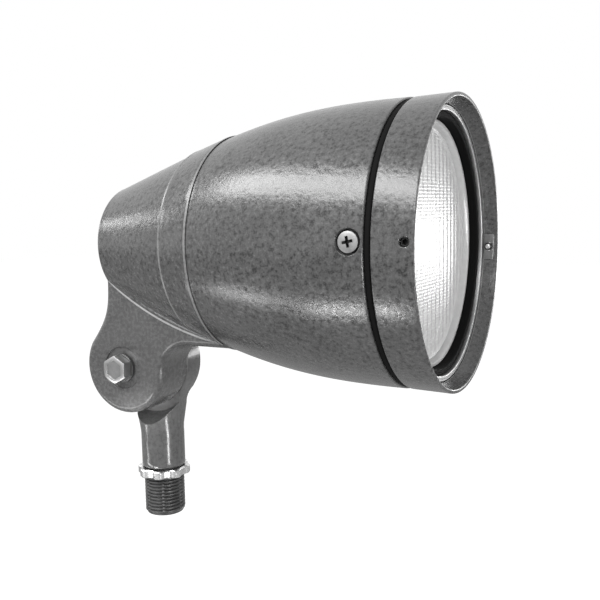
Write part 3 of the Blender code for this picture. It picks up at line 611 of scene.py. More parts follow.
# Metals: colour, roughness, grain and how metallic the surface is
ZINC = metal("bright_zinc_plate", (0.70, 0.70, 0.70), 0.28, 0.06)
STEEL = metal("stainless_steel", (0.50, 0.50, 0.49), 0.32)
SCREW = metal("plated_screw_steel", (0.30, 0.30, 0.30), 0.58, 0.12)
# Dark steel as painted shade: in the screws' cross recesses and on the grub screws sunk in their
# holes
SHADE_STEEL = metal("dark_steel_painted_shade", (0.030, 0.030, 0.030), 0.50, 0.10, 0.6)
BOLT_ZINC = metal("zinc_plated_bolt", (0.47, 0.47, 0.47), 0.34, 0.06)
# A darker zinc for the bolt head's dish floor: painted shade in the recess
DISH_SHADE_ZINC = metal("bolt_dish_painted_shade", (0.28, 0.28, 0.28), 0.44, 0.08)
# A dark zinc for the washer under the bolt head: painted shade round the head
WASHER_SHADE_ZINC = metal("zinc_painted_shade", (0.16, 0.16, 0.16), 0.45, 0.08)
THREAD = metal("dark_threaded_steel", (0.075, 0.075, 0.075), 0.42, 0.12, 0.7)
BARE = metal("bare_cast_aluminium", (0.62, 0.62, 0.63), 0.40)
RING = metal("ring_aluminium", (0.42, 0.42, 0.42), 0.38, 0.06)
MIRROR = metal("anodised_reflector", (0.88, 0.88, 0.88), 0.14, 0.02)
GLASS = lens_glass()
BOARD = plain("white_solder_mask", (0.82, 0.82, 0.82), 0.45)
PHOSPHOR = plain("phosphor_dome", (0.90, 0.74, 0.25), 0.40)
CASE = plain("potted_driver_case", (0.045, 0.045, 0.048), 0.50)


def dress(item, material, body, nodes=()):
    """Give a piece its material and body, and the CAD solid that it stands for."""
    item.data.materials.clear()
    item.data.materials.append(material)
    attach(item, body)
    if nodes:
        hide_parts(*nodes)


def second_material(item, material, flags):
    """Another material on the flagged faces of a dressed piece."""
    item.data.materials.append(material)
    for face, flag in zip(item.data.polygons, flags):
        face.material_index = 1 if flag else 0


# Body of the head: shell of revolution, lug and sunk places for the screws

def body_outline():
    """(station, radius) points of the bare body, from its rear to the seam."""
    slope = math.radians(CONE_ANGLE)
    pull = (CONE_X + CONE_PULL * math.cos(slope), REAR_R + CONE_PULL * math.sin(slope))
    return bezier((CONE_X, REAR_R), pull, (SEAM_X - FRONT_PULL, FRONT_R), (SEAM_X, FRONT_R), 60)


OUTLINE = body_outline()


def radius_at(x):
    """The body's radius, without the band, at a station along the beam."""
    for (x0, r0), (x1, r1) in zip(OUTLINE, OUTLINE[1:]):
        if x0 <= x <= x1:
            return r0 + (r1 - r0) * (x - x0) / (x1 - x0)
    return OUTLINE[-1][1]


def body_skin():
    """(radius, station) points from the seam over the outside to the centre of the rear."""
    band_end = BAND_X + BAND_LEN
    skin = [(r, x) for x, r in OUTLINE if x < BAND_X - BAND_EDGE or x > band_end + BAND_EDGE]
    for start, sign in ((BAND_X, 1), (band_end, -1)):
        for i in range(7):
            t = i / 6
            rise = BAND_RISE * (3 * t * t - 2 * t ** 3)
            x = start + sign * BAND_EDGE * (t - 0.5)
            skin.append((radius_at(x) + rise, x))
    for i in range(1, 8):
        x = BAND_X + BAND_EDGE + (BAND_LEN - 2 * BAND_EDGE) * i / 8
        skin.append((radius_at(x) + BAND_RISE, x))
    skin.sort(key=lambda p: -p[1])
    seam_edge = 0.0004
    front = [(skin[0][0] - seam_edge, SEAM_X), (skin[0][0], SEAM_X - seam_edge)]
    dome = [(REAR_FLAT_R + (REAR_R - REAR_FLAT_R) * math.cos(a), CONE_X - REAR_DOME * math.sin(a))
            for a in (math.radians(6 * i) for i in range(1, 16))]
    centre = [(REAR_FLAT_R * (1 - i / 4), REAR_X) for i in range(1, 5)]
    return front + skin[1:] + dome + centre


def body_hollow():
    """(radius, station) points of the inside, from the centre of the rear to the seam."""
    rear_corner, cone_corner, start, step, spigot_room = 0.0100, 0.0030, 0.0040, 0.0120, 0.0015
    hollow = [(0, REAR_X + REAR_WALL), (REAR_R - rear_corner, REAR_X + REAR_WALL),
              (REAR_R - cone_corner, CONE_X + REAR_WALL)]
    x = start
    while x < SPIGOT_BACK - start:
        hollow.append((radius_at(x) - WALL, x))
        x += step
    return hollow + [(BORE_R, SPIGOT_BACK - spigot_room), (BORE_R, SEAM_X)]


def lug_outline():
    """The lug's X-Z outline: neck, knuckle disc, front fillet and web."""
    below = WEB_RISE - LUG_FILLET_R
    reach = math.sqrt((KNUCKLE_R + LUG_FILLET_R) ** 2 - below ** 2)
    meet = math.degrees(math.atan2(below, reach))
    disc = arc(0, 0, KNUCKLE_R - DISC_SLACK, 150, 360 + meet, 90)
    fillet = arc(reach, below, LUG_FILLET_R, meet + 180, 90, 24)
    neck = NECK_X - PIVOT_X
    rear = bezier((neck, HEAD_RISE - REAR_FLAT_R + NECK_LAP), (neck, NECK_RISE - NECK_SAG),
                  (neck, NECK_RISE - NECK_PULL), disc[0], 24)
    # Points near the neck's upper corner would fold over where the rim is rounded
    corner = 0.0060
    rear = rear[:1] + [p for p in rear if rear[0][1] - p[1] > corner]
    web = [(WEB_X - PIVOT_X, WEB_RISE), (WEB_X - PIVOT_X, WEB_RISE + WEB_SINK)]
    return [(x + PIVOT_X, z + PIVOT_Z) for x, z in rear + disc[1:] + fillet[1:] + web]


def screw_sink(turn):
    """The sunk place of a hood screw, with a slightly flared mouth."""
    station = SEAM_X - HOOD_SCREW_BACK
    top = radius_at(station) - HOOD_SCREW_SINK
    floor = top - HOOD_SCREW_HEAD_T - CLEAR
    radius = SEEN_HEAD_R + SEEN_GAP
    flare, lip, above = 0.0006, 0.0008, 0.0040
    profile = [(0, top + above), (radius + flare, top + above),
               (radius + flare / 2, top - lip / 4), (radius, top - lip), (radius, floor),
               (0, floor)]
    return lathe("sink", profile, 64, side_matrix(turn, station))


def make_body():
    shell = lathe("body_casting", body_skin() + body_hollow(), FINE, BEAM)
    combine(shell, "UNION",
            slab("lug", lug_outline(), LUG_OUTER, LUG_INNER, LUG_ROUND, MATE_ROUND))
    hole = rod("bolt_hole", BOLT_R + CLEAR, -LUG_INNER - OVERCUT, -LUG_OUTER + OVERCUT, 48, PIVOT)
    spot = rod("spot", SPOT_R, -LUG_OUTER - SPOT_DEPTH, -LUG_OUTER + OVERCUT, 96, PIVOT)
    pocket = tube("pocket", POCKET_R, BOSS_R, -LUG_INNER - OVERCUT, -LUG_INNER + POCKET_DEPTH,
                  96, PIVOT)
    groove = tube("groove", ORING_R + ORING_WIRE_R + CLEAR, ORING_R - ORING_WIRE_R - CLEAR,
                  -LUG_INNER - OVERCUT / 2, -LUG_INNER + ORING_SINK, 112, PIVOT)
    combine(shell, "DIFFERENCE", hole, spot, pocket, groove)
    for _, turn in SIDES:
        combine(shell, "DIFFERENCE", screw_sink(turn))
    dress(shell, PAINT, "head", ["housing"])
    outside = []
    for face in shell.data.polygons:
        x, y, z = face.center
        off_axis = math.hypot(y, z - AXIS_Z)
        outside.append(off_axis > radius_at(max(x, CONE_X)) + 2 * BAND_RISE)
    second_material(shell, LUG_PAINT, outside)


def make_root():
    """The cast fillet where the lug's flat side runs into the round body, and a bead along its
    edge whose lighter paint is a painted highlight.
    """
    count, curve_steps, bead_steps = 56, 8, 10
    fillet, edge = [], []
    for i in range(count + 1):
        t = i / count
        x = ROOT_START + ROOT_LEN * t
        radius = radius_at(max(x, CONE_X))
        half = math.sqrt(radius ** 2 - LUG_OUTER ** 2)
        deep = ROOT_LEAST + ROOT_DEPTH * math.sin(math.pi * t) ** 0.8
        low = Vector((x, LUG_OUTER - SKIN_LIFT, AXIS_Z - half - deep))
        corner = Vector((x, LUG_OUTER, AXIS_Z - half))
        turn = math.asin(-LUG_OUTER / radius) + deep / radius
        high = Vector((x, -(radius + SKIN_LIFT) * math.sin(turn),
                       AXIS_Z - (radius + SKIN_LIFT) * math.cos(turn)))
        curve = [(1 - u) ** 2 * low + 2 * u * (1 - u) * corner + u * u * high
                 for u in (k / curve_steps for k in range(curve_steps + 1))]
        inside = corner + Vector((0, 0.0020, 0.0010))
        fillet.append(curve + [inside])
        edge.append(low)
    dress(sweep("lug_root_fillet", fillet), PAINT, "head")
    rings = []
    for i, here in enumerate(edge):
        along = (edge[min(i + 1, count)] - edge[max(i - 1, 0)]).normalized()
        out = Vector((0, 1, 0))
        side = along.cross(out).normalized()
        # The bead thins out over its first and last steps
        thick = ROOT_BEAD * min(1.0, 0.2 + i / 8, 0.2 + (count - i) / 8)
        rings.append([here + thick * (math.cos(a) * side + 0.5 * math.sin(a) * out)
                      for a in (math.tau * k / bead_steps for k in range(bead_steps))])
    # The bead's lighter paint is a painted highlight along the crease
    dress(sweep("lug_root_edge", rings), HIGHLIGHT_EDGE_PAINT, "head")


def make_band_edges():
    """Hairline beads along both edges of the raised band, painted lighter as highlight lines."""
    steps = 12
    for name, x in (("rear", BAND_X), ("front", BAND_X + BAND_LEN)):
        r = radius_at(x) + BAND_RISE
        profile = [(r + SKIN_LIFT * math.cos(a), x - BAND_BEAD * math.sin(a))
                   for a in (math.tau * k / steps for k in range(steps))]
        dress(lathe("band_edge_" + name, profile, FINE, BEAM), SHEEN_PAINT, "head")


# Front of the head: hood, screws, seals, lens and reflector

def make_pad(turn):
    """The thicker place inside the hood round a set screw."""
    back, front = RING_FRONT + CLEAR, SET_SCREW_X + PAD_FRONT
    low = HOOD_R - HOOD_WALL + PAD_SINK - PAD_T
    high = HOOD_R - HOOD_WALL / 2
    work = bmesh.new()
    bmesh.ops.create_cube(work, size=1.0)
    bmesh.ops.scale(work, vec=(2 * PAD_HALF, front - back, high - low), verts=work.verts)
    bmesh.ops.bevel(work, geom=list(work.edges), offset=0.0004, segments=3, affect="EDGES",
                    profile=0.5)
    mesh = to_mesh("pad", work)
    middle = (front + back) / 2
    mesh.transform(side_matrix(turn, middle) @ Matrix.Translation((0, 0, (low + high) / 2)))
    return solid("pad", mesh)


def make_hood():
    seat_r = LENS_R - SEAT_LIP
    pocket_r = LENS_GASKET_R + CLEAR
    ring_seat = RING_R + CLEAR
    mouth = HOOD_R - LIP_T
    lip_back, seat_edge, wall_edge, wall_step = 0.0040, 0.0002, 0.0008, 0.0003
    outer = rounded([(mouth, HOOD_FRONT - lip_back), (mouth, HOOD_FRONT), (HOOD_R, HOOD_FRONT),
                     (FRONT_R, HOOD_BACK), (SPIGOT_R, HOOD_BACK)],
                    radius=0.0006, count=5)[1:]
    inner = rounded([(SPIGOT_R, HOOD_BACK), (SPIGOT_R, SPIGOT_BACK),
                     (SPIGOT_R - SPIGOT_T, SPIGOT_BACK), (SPIGOT_R - SPIGOT_T, SEAT_BACK),
                     (seat_r, SEAT_BACK), (seat_r, SEAT_FRONT), (pocket_r, SEAT_FRONT),
                     (pocket_r, RING_BACK - CLEAR), (ring_seat, RING_BACK - CLEAR),
                     (ring_seat, RING_FRONT + seat_edge),
                     (ring_seat + wall_step, RING_FRONT + wall_edge)],
                    radius=0.0003, count=2)[1:]
    hood = lathe("hood_casting", outer + inner, FINE, BEAM)
    for _, turn in SIDES:
        combine(hood, "UNION", make_pad(turn))
        hole = rod("set_hole", SET_SCREW_R + CLEAR, RING_R - 2 * OVERCUT, HOOD_R + OVERCUT, 40,
                   side_matrix(turn, SET_SCREW_X))
        combine(hood, "DIFFERENCE", hole)
    dress(hood, PAINT, "head", ["front_hood"])
    wall = ring_seat + 0.0001
    # The pads' faces get the lighter paint, a painted sheen for the light that they reflect
    sheen_pads = [face.center.x > RING_FRONT + seat_edge
            and math.hypot(face.center.y, face.center.z - AXIS_Z) < wall
            for face in hood.data.polygons]
    second_material(hood, SHEEN_PAINT, sheen_pads)


def make_hood_screws():
    """Pan heads with a cross recess, whose floor and sides are painted dark as shade."""
    station = SEAM_X - HOOD_SCREW_BACK
    top = radius_at(station) - HOOD_SCREW_SINK
    low = top - HOOD_SCREW_HEAD_T
    head_r = SEEN_HEAD_R
    rise, drop = 0.0003, 0.0006
    wide, thin = head_r * 0.52, head_r * 0.14
    cross_turn, cross_depth, dark_depth = math.radians(12), 0.0017, 0.0010
    bends = [math.radians(12 * i) for i in range(1, 8)]
    profile = [(0, top + rise)]
    profile += [(head_r * 0.98 * math.sin(a), top + rise - drop * (1 - math.cos(a)))
                for a in bends]
    profile += [(head_r, low + drop), (head_r, low), (HOOD_SCREW_R, low),
                (HOOD_SCREW_R, low - HOOD_SCREW_LEN), (0, low - HOOD_SCREW_LEN)]
    for name, turn in SIDES:
        screw = lathe("hood_screw_head_" + name, profile, 72)
        for turn_over in (0, math.pi / 2):
            spin = Matrix.Rotation(turn_over + cross_turn, 3, "Z")
            work = bmesh.new()
            rows = [[work.verts.new(spin @ Vector((x * w, y * t, z)))
                     for x, y in ((-1, -1), (1, -1), (1, 1), (-1, 1))]
                    for w, t, z in ((wide, thin, top + OVERCUT / 2), (wide, thin, top - rise),
                                    (wide * 0.4, thin * 0.7, top - cross_depth))]
            work.faces.new(rows[0])
            work.faces.new(rows[-1])
            bridge(work, rows)
            combine(screw, "DIFFERENCE", solid("slot", closed_mesh("slot", work)))
        shaded_recess = [math.hypot(f.center.x, f.center.y) < head_r * 0.6 and low < f.center.z
                and (abs(f.normal.z) < 0.9 or f.center.z < top - dark_depth)
                for f in screw.data.polygons]
        screw.data.transform(side_matrix(turn, station))
        dress(screw, SCREW, "head", ["hood_screw_" + name])
        # The recess takes the dark steel, a painted shade
        second_material(screw, SHADE_STEEL, shaded_recess)


def make_set_screws():
    """Grub screws with a hex socket, painted dark as the shade in their holes, and a cup point
    painted bright as a highlight.
    """
    face = HOOD_R - SET_SCREW_SINK
    end = SET_SCREW_LEN
    r, edge = SET_SCREW_R, 0.0003
    cup_root, cup_neck, cup_rim, tip_len = 0.0012, 0.0010, 0.0002, 0.0011
    profile = [(0, face), (r - edge, face), (r, face - edge), (r, face - end + cup_root),
               (r - 2 * edge, face - end + cup_neck), (r - 2 * edge, face - end + cup_rim),
               (r - 0.0009, face - end), (0, face - end)]
    for name, turn in SIDES:
        grub = lathe("set_screw_socket_" + name, profile, 48)
        socket = rod("socket", SOCKET_R, face - SOCKET_DEPTH, face + OVERCUT / 2, 6)
        combine(grub, "DIFFERENCE", socket)
        # The cup point takes bright zinc, a painted highlight on the lit tip
        painted_glint_tip = [f.center.z < face - end + tip_len for f in grub.data.polygons]
        grub.data.transform(side_matrix(turn, SET_SCREW_X))
        dress(grub, SHADE_STEEL, "head", ["set_screw_" + name])
        second_material(grub, ZINC, painted_glint_tip)


def round_ring(name, inner, outer, low, high, edge, steps):
    """A ring of four-sided section with rounded edges, about the beam."""
    middle = (low + high) / 2
    profile = rounded([(inner, middle), (inner, high), (outer, high), (outer, low),
                       (inner, low), (inner, middle)], radius=edge, count=steps)[:-1]
    return lathe(name, profile, FINE, BEAM)


def make_rings():
    seam = round_ring("seam_seal", SPIGOT_R + CLEAR, radius_at(SEAM_X) - GASKET_SINK,
                      SEAM_X + CLEAR, HOOD_BACK - CLEAR, edge=0.0007, steps=4)
    dress(seam, RUBBER, "head", ["seam_gasket"])
    seal = round_ring("lens_seal", LENS_R + CLEAR, LENS_GASKET_R, SEAT_FRONT + CLEAR,
                      SEAT_FRONT + LENS_GASKET_LEN, edge=0.0006, steps=4)
    dress(seal, RUBBER, "head", ["lens_gasket"])
    ring = round_ring("retaining_ring", LENS_GASKET_R + CLEAR, RING_R, RING_BACK, RING_FRONT,
                      edge=0.0004, steps=3)
    dress(ring, RING, "head", ["lens_ring"])


def make_lens():
    """Pressed glass: a slightly domed, fluted face inside a plain rim."""
    rings, dome, fade_len = 60, 0.0006, 0.0020
    rim_foot, rim_top, rim_round, edge = 0.0009, 0.0013, 0.0003, 0.0004
    face = LENS_FRONT - LENS_FACE_SINK
    fluted_r = LENS_FACE_R * 0.98
    profile = [(LENS_FACE_R * 0.985 * i / rings, face + dome * (1 - (i / rings) ** 2))
               for i in range(rings + 1)]
    profile += [(LENS_FACE_R, face), (LENS_FACE_R + rim_foot, LENS_FRONT - rim_round),
                (LENS_FACE_R + rim_top, LENS_FRONT), (LENS_R - edge, LENS_FRONT),
                (LENS_R, LENS_FRONT - edge), (LENS_R, LENS_BACK), (0, LENS_BACK)]

    def flutes(y, r):
        if r > fluted_r:
            return 0.0
        fade = min(1.0, (fluted_r - r) / fade_len)
        return -FLUTE_DEPTH * fade * math.sin(math.pi * y / FLUTE_PITCH) ** 2

    dress(lathe("fluted_lens", profile, 240, BEAM, flutes), GLASS, "head", ["lens"])


def make_reflector():
    """A parabolic bowl with a flange at its mouth."""
    count, flange_root = 28, 0.0008
    bowl = []
    for i in range(count + 1):
        t = i / count
        r = REFLECTOR_THROAT_R + (REFLECTOR_MOUTH_R - REFLECTOR_THROAT_R) * math.sqrt(t)
        bowl.append((r, REFLECTOR_BACK + REFLECTOR_LEN * t))
    back = FLANGE_FRONT - REFLECTOR_T
    outside = [(r + REFLECTOR_T, min(z, back - flange_root)) for r, z in bowl[:-1]]
    profile = bowl + [(REFLECTOR_MOUTH_R + REFLECTOR_FLANGE, FLANGE_FRONT),
                      (REFLECTOR_MOUTH_R + REFLECTOR_FLANGE, back),
                      (REFLECTOR_MOUTH_R + REFLECTOR_T, back)] + outside[::-1]
    dress(lathe("reflector_bowl", profile, 128, BEAM), MIRROR, "head", ["reflector"])


# Swivel arm: stem, half knuckle and the space the lug turns in

def make_stem(floor):
    """The round stem, which widens and leans back towards the knuckle."""
    top = PIVOT_Z - KNUCKLE_R / 2
    low = PIVOT_Z - FLARE_DROP
    wall = [(ARM_R + STEM_FLARE * (i / 16) ** 2, low + (top - low) * i / 16) for i in range(17)]
    foot = [(ARM_R, low + (floor + FOOT_ROUND - low) * i / 8) for i in range(1, 9)]
    foot += [(ARM_R - FOOT_ROUND / 4, floor + FOOT_ROUND / 4), (ARM_R - FOOT_ROUND, floor),
             (0, floor)]
    stem = lathe("arm_casting", [(0, top)] + wall[::-1] + foot, 112)
    for vert in stem.data.vertices:
        vert.co.x -= STEM_LEAN * max(0.0, (vert.co.z - low) / (top - low))
        vert.co.y = min(vert.co.y, ARM_OUTER - ARM_ROUND)
    return stem


def make_scoop():
    """The space the lug turns in. It opens towards the near side."""
    # It starts a hair behind the arm's own face
    face = -ARM_INNER - 0.000125
    depth = ARM_R + STEM_FLARE - face
    rings = [(SCOOP_R + SCOOP_FLARE * (i / 12) ** 1.5 + SCOOP_OPENING * (i / 12) ** 2,
              face + depth * i / 12) for i in range(13)]
    scoop = lathe("scoop", [(0, face + depth)] + rings[::-1] + [(0, face)], 144)
    for vert in scoop.data.vertices:
        vert.co.x += SCOOP_SHIFT * (vert.co.z - face) / depth
    scoop.data.transform(PIVOT)
    return scoop


def arm_fillet(side, radius):
    """Centre and touching angle of the fillet between the stem's side and the knuckle."""
    x = side * (ARM_R + radius)
    z = PIVOT_Z - math.sqrt((KNUCKLE_R + radius) ** 2 - (x - PIVOT_X) ** 2)
    return x, z, math.degrees(math.atan2(PIVOT_Z - z, PIVOT_X - x))


def make_half(foot):
    """The arm's half of the knuckle, trimmed to bells that round its meeting with the stem."""
    x1, z1, t1 = arm_fillet(1, ARM_FILLET_R)
    x2, z2, t2 = arm_fillet(-1, ARM_REAR_FILLET_R)
    right = arc(x1, z1, ARM_FILLET_R, 180, t1, 24)
    left = arc(x2, z2, ARM_REAR_FILLET_R, t2, 0, 24)
    disc = arc(PIVOT_X, PIVOT_Z, KNUCKLE_R - DISC_SLACK, t1 - 180, t2 + 180, 110)
    outline = [(-ARM_R, foot), (0, foot), (ARM_R, foot)] + right + disc[1:-1] + left
    half = slab("half", outline, ARM_INNER, ARM_OUTER, MATE_ROUND, ARM_ROUND)

    high, clear_r = PIVOT_Z + 2 * KNUCKLE_R, 2 * KNUCKLE_R
    neck = z2 - ARM_BLEND_SINK
    inside, skirt = ARM_R - 0.0005, 0.0060
    flare = [(inside + ARM_REAR_FILLET_R * (1 - math.cos(a)),
              neck + ARM_REAR_FILLET_R * math.sin(a))
             for a in (math.radians(d) for d in range(75, 2, -4))]
    rear_bell = lathe("bell", [(0, high), (clear_r, high)] + flare
                      + [(inside, neck), (inside, foot), (0, foot)], 112)
    waist = PIVOT_Z - BELL_DROP
    inside = ARM_R + STEM_FLARE / 3
    below = foot - skirt
    flare = [(inside + BELL_R * (1 - math.cos(a)), waist + BELL_R * math.sin(a))
             for a in (math.radians(d) for d in range(84, -1, -6))]
    front_bell = lathe("bell", [(0, high), (clear_r, high), (clear_r, waist + 1.2 * BELL_R)]
                       + flare + [(ARM_R, waist - BELL_R), (ARM_R, below), (0, below)], 112)
    # The front bell trims the front alone, so its rear is moved clear of the knuckle
    for vert in front_bell.data.vertices:
        if vert.co.x < -CLEAR:
            vert.co.x = -3 * KNUCKLE_R
    return combine(half, "INTERSECT", rear_bell, front_bell)


def make_arm():
    floor = STUB_LEN + CLEAR
    stem = make_stem(floor)
    combine(stem, "DIFFERENCE", make_scoop())
    combine(stem, "UNION", make_half(floor + STEM_SPIGOT_LEN))
    hole = rod("hole", BOLT_R + CLEAR, -ARM_OUTER - OVERCUT, -ARM_INNER + OVERCUT, 48, PIVOT)
    socket = rod("socket", STEM_SPIGOT_R + CLEAR, floor - OVERCUT / 2,
                 floor + STEM_SPIGOT_LEN + CLEAR, 64)
    bore = rod("bore", WIRE_R, floor + STEM_SPIGOT_LEN - OVERCUT / 2, floor + ARM_BORE_LEN, 48)
    pocket = tube("pocket", POCKET_R, BOSS_R, -ARM_INNER - ARM_POCKET_DEPTH,
                  -ARM_INNER + OVERCUT, 96, PIVOT)
    combine(stem, "DIFFERENCE", hole, socket, bore, pocket)
    dress(stem, ARM_PAINT, "arm", ["swivel_arm"])


def make_thread():
    """A pipe thread of fourteen turns an inch, cut into the stub as one helix."""
    steps = 96
    low, high = 0.0006, STUB_LEN - 0.0006
    root, start, fade, shoulder = 0.0010, 0.0002, 0.0012, 0.0003
    # Place along one pitch and share of the depth, from crest to root and back
    shape = ((0.0, 0.0), (0.14, 0.0), (0.44, 1.0), (0.56, 1.0), (0.86, 0.0))
    rows = int((high - low) / THREAD_PITCH) + 1
    lines = []
    for i in range(steps):
        line = [(WIRE_R, 0.0), (STUB_R - root, 0.0)]
        for k in range(-1, rows + 1):
            for place, drop in shape:
                z = low + (k + place + i / steps) * THREAD_PITCH
                ends = min(1.0, max(0.0, (z - start) / fade))
                if shoulder < z < high:
                    reach = min(STUB_R - THREAD_DEPTH * drop, STUB_R - root * (1 - ends))
                    line.append((reach, z))
        lines.append(line)
    most, filler = max(len(line) for line in lines), 0.0001
    for line in lines:
        while len(line) < most:
            line.append((line[-1][0], min(high, line[-1][1] + filler)))
        line += [(STUB_R - shoulder, high), (STUB_R - shoulder, STUB_LEN),
                 (STEM_SPIGOT_R, STUB_LEN), (STEM_SPIGOT_R, STUB_LEN + STEM_SPIGOT_LEN),
                 (WIRE_R, STUB_LEN + STEM_SPIGOT_LEN)]
    dress(wrap("stub_thread", lines, 50), THREAD, "arm", ["threaded_stub"])


def make_locknut():
    """A stamped locknut, with notches between slant-sided teeth round its edge."""
    tooth_steps, tooth_half, flank = 16, 0.34, 1.7
    high = STUB_LEN - NUT_DROP
    low = high - NUT_T
    inner, inner_edge, outer_edge = STUB_R + CLEAR, 0.0004, 0.0006
    lines = []
    for i in range(tooth_steps * NUT_NOTCHES):
        phase = (i % tooth_steps) / tooth_steps
        tooth = max(0.0, 1 - abs(phase - 0.5) / tooth_half)
        tooth = min(1.0, tooth * flank)
        edge = NUT_ROOT_R + (NUT_R - NUT_ROOT_R) * tooth
        lines.append([(inner, low + inner_edge), (inner + inner_edge, low),
                      (edge - outer_edge, low), (edge, low + outer_edge),
                      (edge, high - outer_edge), (edge - outer_edge, high),
                      (inner + inner_edge, high), (inner, high - inner_edge)])
    dress(wrap("notched_locknut", lines, 30), ZINC, "locknut", ["locknut"])


def make_bolt():
    """The pivot bolt, its head dished as cast with the dish's floor painted darker as shade, and
    the nut on the far side.
    """
    seat = -(LUG_OUTER + SPOT_DEPTH)
    washer_low = seat + CLEAR
    head_low = washer_low + WASHER_T + CLEAR
    nut_high = -(ARM_OUTER + CLEAR + WASHER_T + CLEAR)
    tail = nut_high - BOLT_NUT_T - BOLT_TAIL
    head = hex_bar("pivot_bolt_hex", BOLT_AF, head_low, head_low + BOLT_HEAD_T,
                   chamfer=0.0008)
    combine(head, "UNION", rod("shank", BOLT_R, tail, head_low + OVERCUT, chamfer=0.0006))
    crown = head_low + BOLT_HEAD_T
    dish_wall, dish_depth = 0.0038, 0.0005
    dish = hex_bar("dish", BOLT_AF - dish_wall, crown - dish_depth, crown + 0.0030,
                   chamfer=0.0001)
    combine(head, "DIFFERENCE", dish)
    within, under = BOLT_AF / 2 - 0.0012, crown - 0.0003
    # The dish's floor gets the darker zinc, a painted shade in the recess
    floor = [f.normal.z > 0.9 and f.center.z < under
             and math.hypot(f.center.x, f.center.y) < within
             for f in head.data.polygons]
    head.data.transform(PIVOT)
    dress(head, BOLT_ZINC, "arm", ["pivot_bolt"])
    second_material(head, DISH_SHADE_ZINC, floor)
    nut = hex_bar("pivot_nut_hex", BOLT_AF, nut_high - BOLT_NUT_T, nut_high,
                  chamfer=0.0011, both=True)
    hole = rod("hole", BOLT_R + CLEAR, nut_high - 0.01, nut_high + OVERCUT / 2, 48)
    combine(nut, "DIFFERENCE", hole)
    nut.data.transform(PIVOT)
    dress(nut, ZINC, "arm", ["pivot_nut"])


make_body()
make_root()
make_band_edges()
make_hood()
make_hood_screws()
make_set_screws()
make_rings()
make_lens()
make_reflector()
make_arm()
make_thread()
make_locknut()
make_bolt()

# Pieces that keep the CAD's own solids
KEPT = {
    # The bolt's washer takes the dark zinc, a painted shade round the bolt head; the nut's washer
    # stays bright
    "bolt_washer": WASHER_SHADE_ZINC, "nut_washer": ZINC, "knuckle_oring": RUBBER, "led_emitter": PHOSPHOR,
    "led_board": BOARD, "board_screw_1": STEEL, "board_screw_2": STEEL, "heat_plate": BARE,
    "plate_screw_1": STEEL, "plate_screw_2": STEEL, "plate_screw_3": STEEL,
    "standoff_1": STEEL, "standoff_2": STEEL, "driver_plate": STEEL, "driver": CASE,
}
for node, material in KEPT.items():
    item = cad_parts[node]
    item.data.materials.clear()
    item.data.materials.append(material)
    finish_mesh(item)


# Camera, floor, world and lamps

def make_camera():
    azimuth, elevation, roll = math.radians(27.3), math.radians(6.6), math.radians(1.1)
    distance = 0.386
    target = Vector((0.0851, 0.0, 0.1182))
    back = Vector((math.sin(azimuth) * math.cos(elevation),
                   -math.cos(azimuth) * math.cos(elevation), math.sin(elevation)))
    right = Vector((math.cos(azimuth), math.sin(azimuth), 0))
    up = back.cross(right)
    cam_x = math.cos(roll) * right - math.sin(roll) * up
    cam_y = math.sin(roll) * right + math.cos(roll) * up
    place = target + back * distance
    data = bpy.data.cameras.new("photo_camera")
    data.lens = 48
    data.sensor_width = 36
    data.clip_start = 0.01
    camera = bpy.data.objects.new("photo_camera", data)
    bpy.context.scene.collection.objects.link(camera)
    camera.matrix_world = Matrix((
        (cam_x.x, cam_y.x, back.x, place.x), (cam_x.y, cam_y.y, back.y, place.y),
        (cam_x.z, cam_y.z, back.z, place.z), (0, 0, 0, 1)))
    bpy.context.scene.camera = camera


def level_seen(nodes, unseen, seen, mirrored=1.0):
    """One level for rays that light the object, another for rays that show the background.

    Straight rays have the second in full, mirrored ones and ones through glass a share.
    """
    ray = nodes.add("ShaderNodeLightPath").outputs
    both = nodes.maths("MAXIMUM", ray["Is Glossy Ray"], ray["Is Transmission Ray"])
    share = nodes.add("ShaderNodeMapRange", Value=both, To_Max=mirrored).outputs["Result"]
    total = nodes.maths("MAXIMUM", ray["Is Camera Ray"], share)
    level = nodes.add("ShaderNodeMapRange", Value=total, To_Min=unseen, To_Max=seen)
    return level.outputs["Result"]


def make_world():
    world = bpy.data.worlds.new("studio")
    bpy.context.scene.world = world
    world.use_nodes = True
    nodes = Tree(world.node_tree)
    nodes.fill(world.node_tree.nodes["Background"], Color=(1, 1, 1, 1),
               Strength=level_seen(nodes, unseen=0.42, seen=1.0))


def make_floor():
    """A white floor well below the light, which looks as bright as the world."""
    half_size, height, tone, glow, mirrored = 6.0, -0.32, 0.32, 0.84, 0.20
    work = bmesh.new()
    bmesh.ops.create_grid(work, x_segments=8, y_segments=8, size=half_size)
    mesh = to_mesh("studio_floor", work)
    mesh.transform(Matrix.Translation((0, 0, height)))
    floor = solid("studio_floor", mesh)
    material = bpy.data.materials.new("studio_white")
    material.use_nodes = True
    nodes = Tree(material.node_tree)
    nodes.fill(material.node_tree.nodes["Principled BSDF"], Base_Color=(tone, tone, tone, 1),
               Roughness=0.9, Emission_Color=(1, 1, 1, 1),
               Emission_Strength=level_seen(nodes, 0.0, glow, mirrored))
    mesh.materials.append(material)


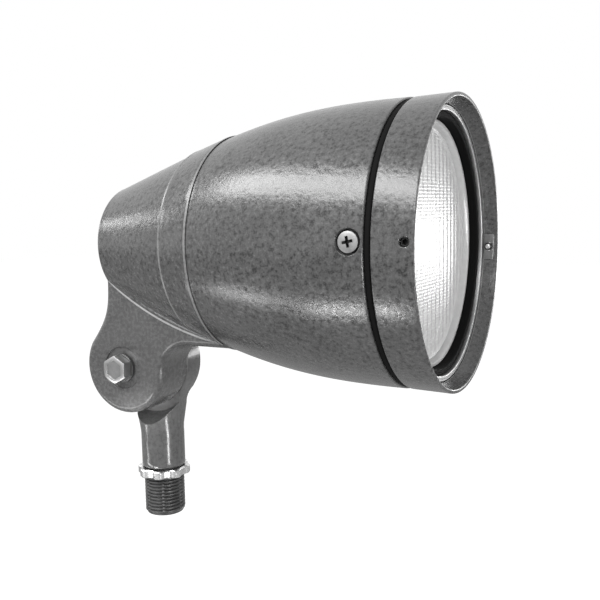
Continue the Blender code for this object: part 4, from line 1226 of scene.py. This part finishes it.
def hang(name, data, place, rotation):
    """Put a lamp in its place, out of the camera's sight."""
    item = bpy.data.objects.new(name, data)
    bpy.context.scene.collection.objects.link(item)
    item.location = place
    item.rotation_euler = rotation
    item.visible_camera = False
    return item


def lamp(name, place, aim, size, radiance, turn=0):
    """A rectangular lamp of a given radiance, turned in degrees about its aim."""
    data = bpy.data.lights.new(name, "AREA")
    data.shape = "RECTANGLE"
    data.size, data.size_y = size
    data.energy = radiance * math.pi * size[0] * size[1]
    facing = (Vector(aim) - Vector(place)).to_track_quat("-Z", "Y").to_matrix()
    hang(name, data, place, (facing @ Matrix.Rotation(math.radians(turn), 3, "Z")).to_euler())


def snoot(name, place, aim, cone, power):
    """A narrow soft lamp that opens up one shadow and shows in no reflection."""
    data = bpy.data.lights.new(name, "SPOT")
    data.spot_size = math.radians(cone)
    data.spot_blend = 1.0
    data.shadow_soft_size = 0.01
    data.energy = power
    facing = (Vector(aim) - Vector(place)).to_track_quat("-Z", "Y")
    hang(name, data, place, facing.to_euler()).visible_glossy = False


make_camera()
make_world()
make_floor()
# Name, place, aim, width and height, radiance, and any turn about the aim
lamp("key_strip", (-0.194, -0.600, 0.748), (0.10, -0.05, 0.17), (1.45, 0.27), 11.8, -5)
lamp("low_strip", (-0.250, -0.258, -0.127), (0.10, -0.05, 0.13), (0.20, 0.022), 19.0, -34)
lamp("low_front", (-0.055, -0.315, -0.183), (0.13, -0.05, 0.12), (0.12, 0.020), 50.0, -20)
lamp("rear_card", (-0.756, -0.093, 0.382), (0.0, -0.03, 0.155), (0.12, 0.10), 8.0)
lamp("arm_strip", (0.80, -0.40, -0.10), (0.0, 0.0, 0.05), (0.10, 0.40), 30.0)
lamp("lens_panel", (0.37, 0.66, 0.11), (0.155, 0.0, 0.145), (0.60, 0.12), 7.0)
lamp("front_panel", (0.86, 0.42, 0.12), (0.155, 0.0, 0.145), (0.60, 0.11), 8.0)
# Name, place, aim, cone in degrees and power
snoot("scoop_snoot", (0.10, -0.45, 0.095), (-0.001, -0.006, 0.0588), 3.1, 18.0)

bpy.context.scene.view_settings.view_transform = "Standard"
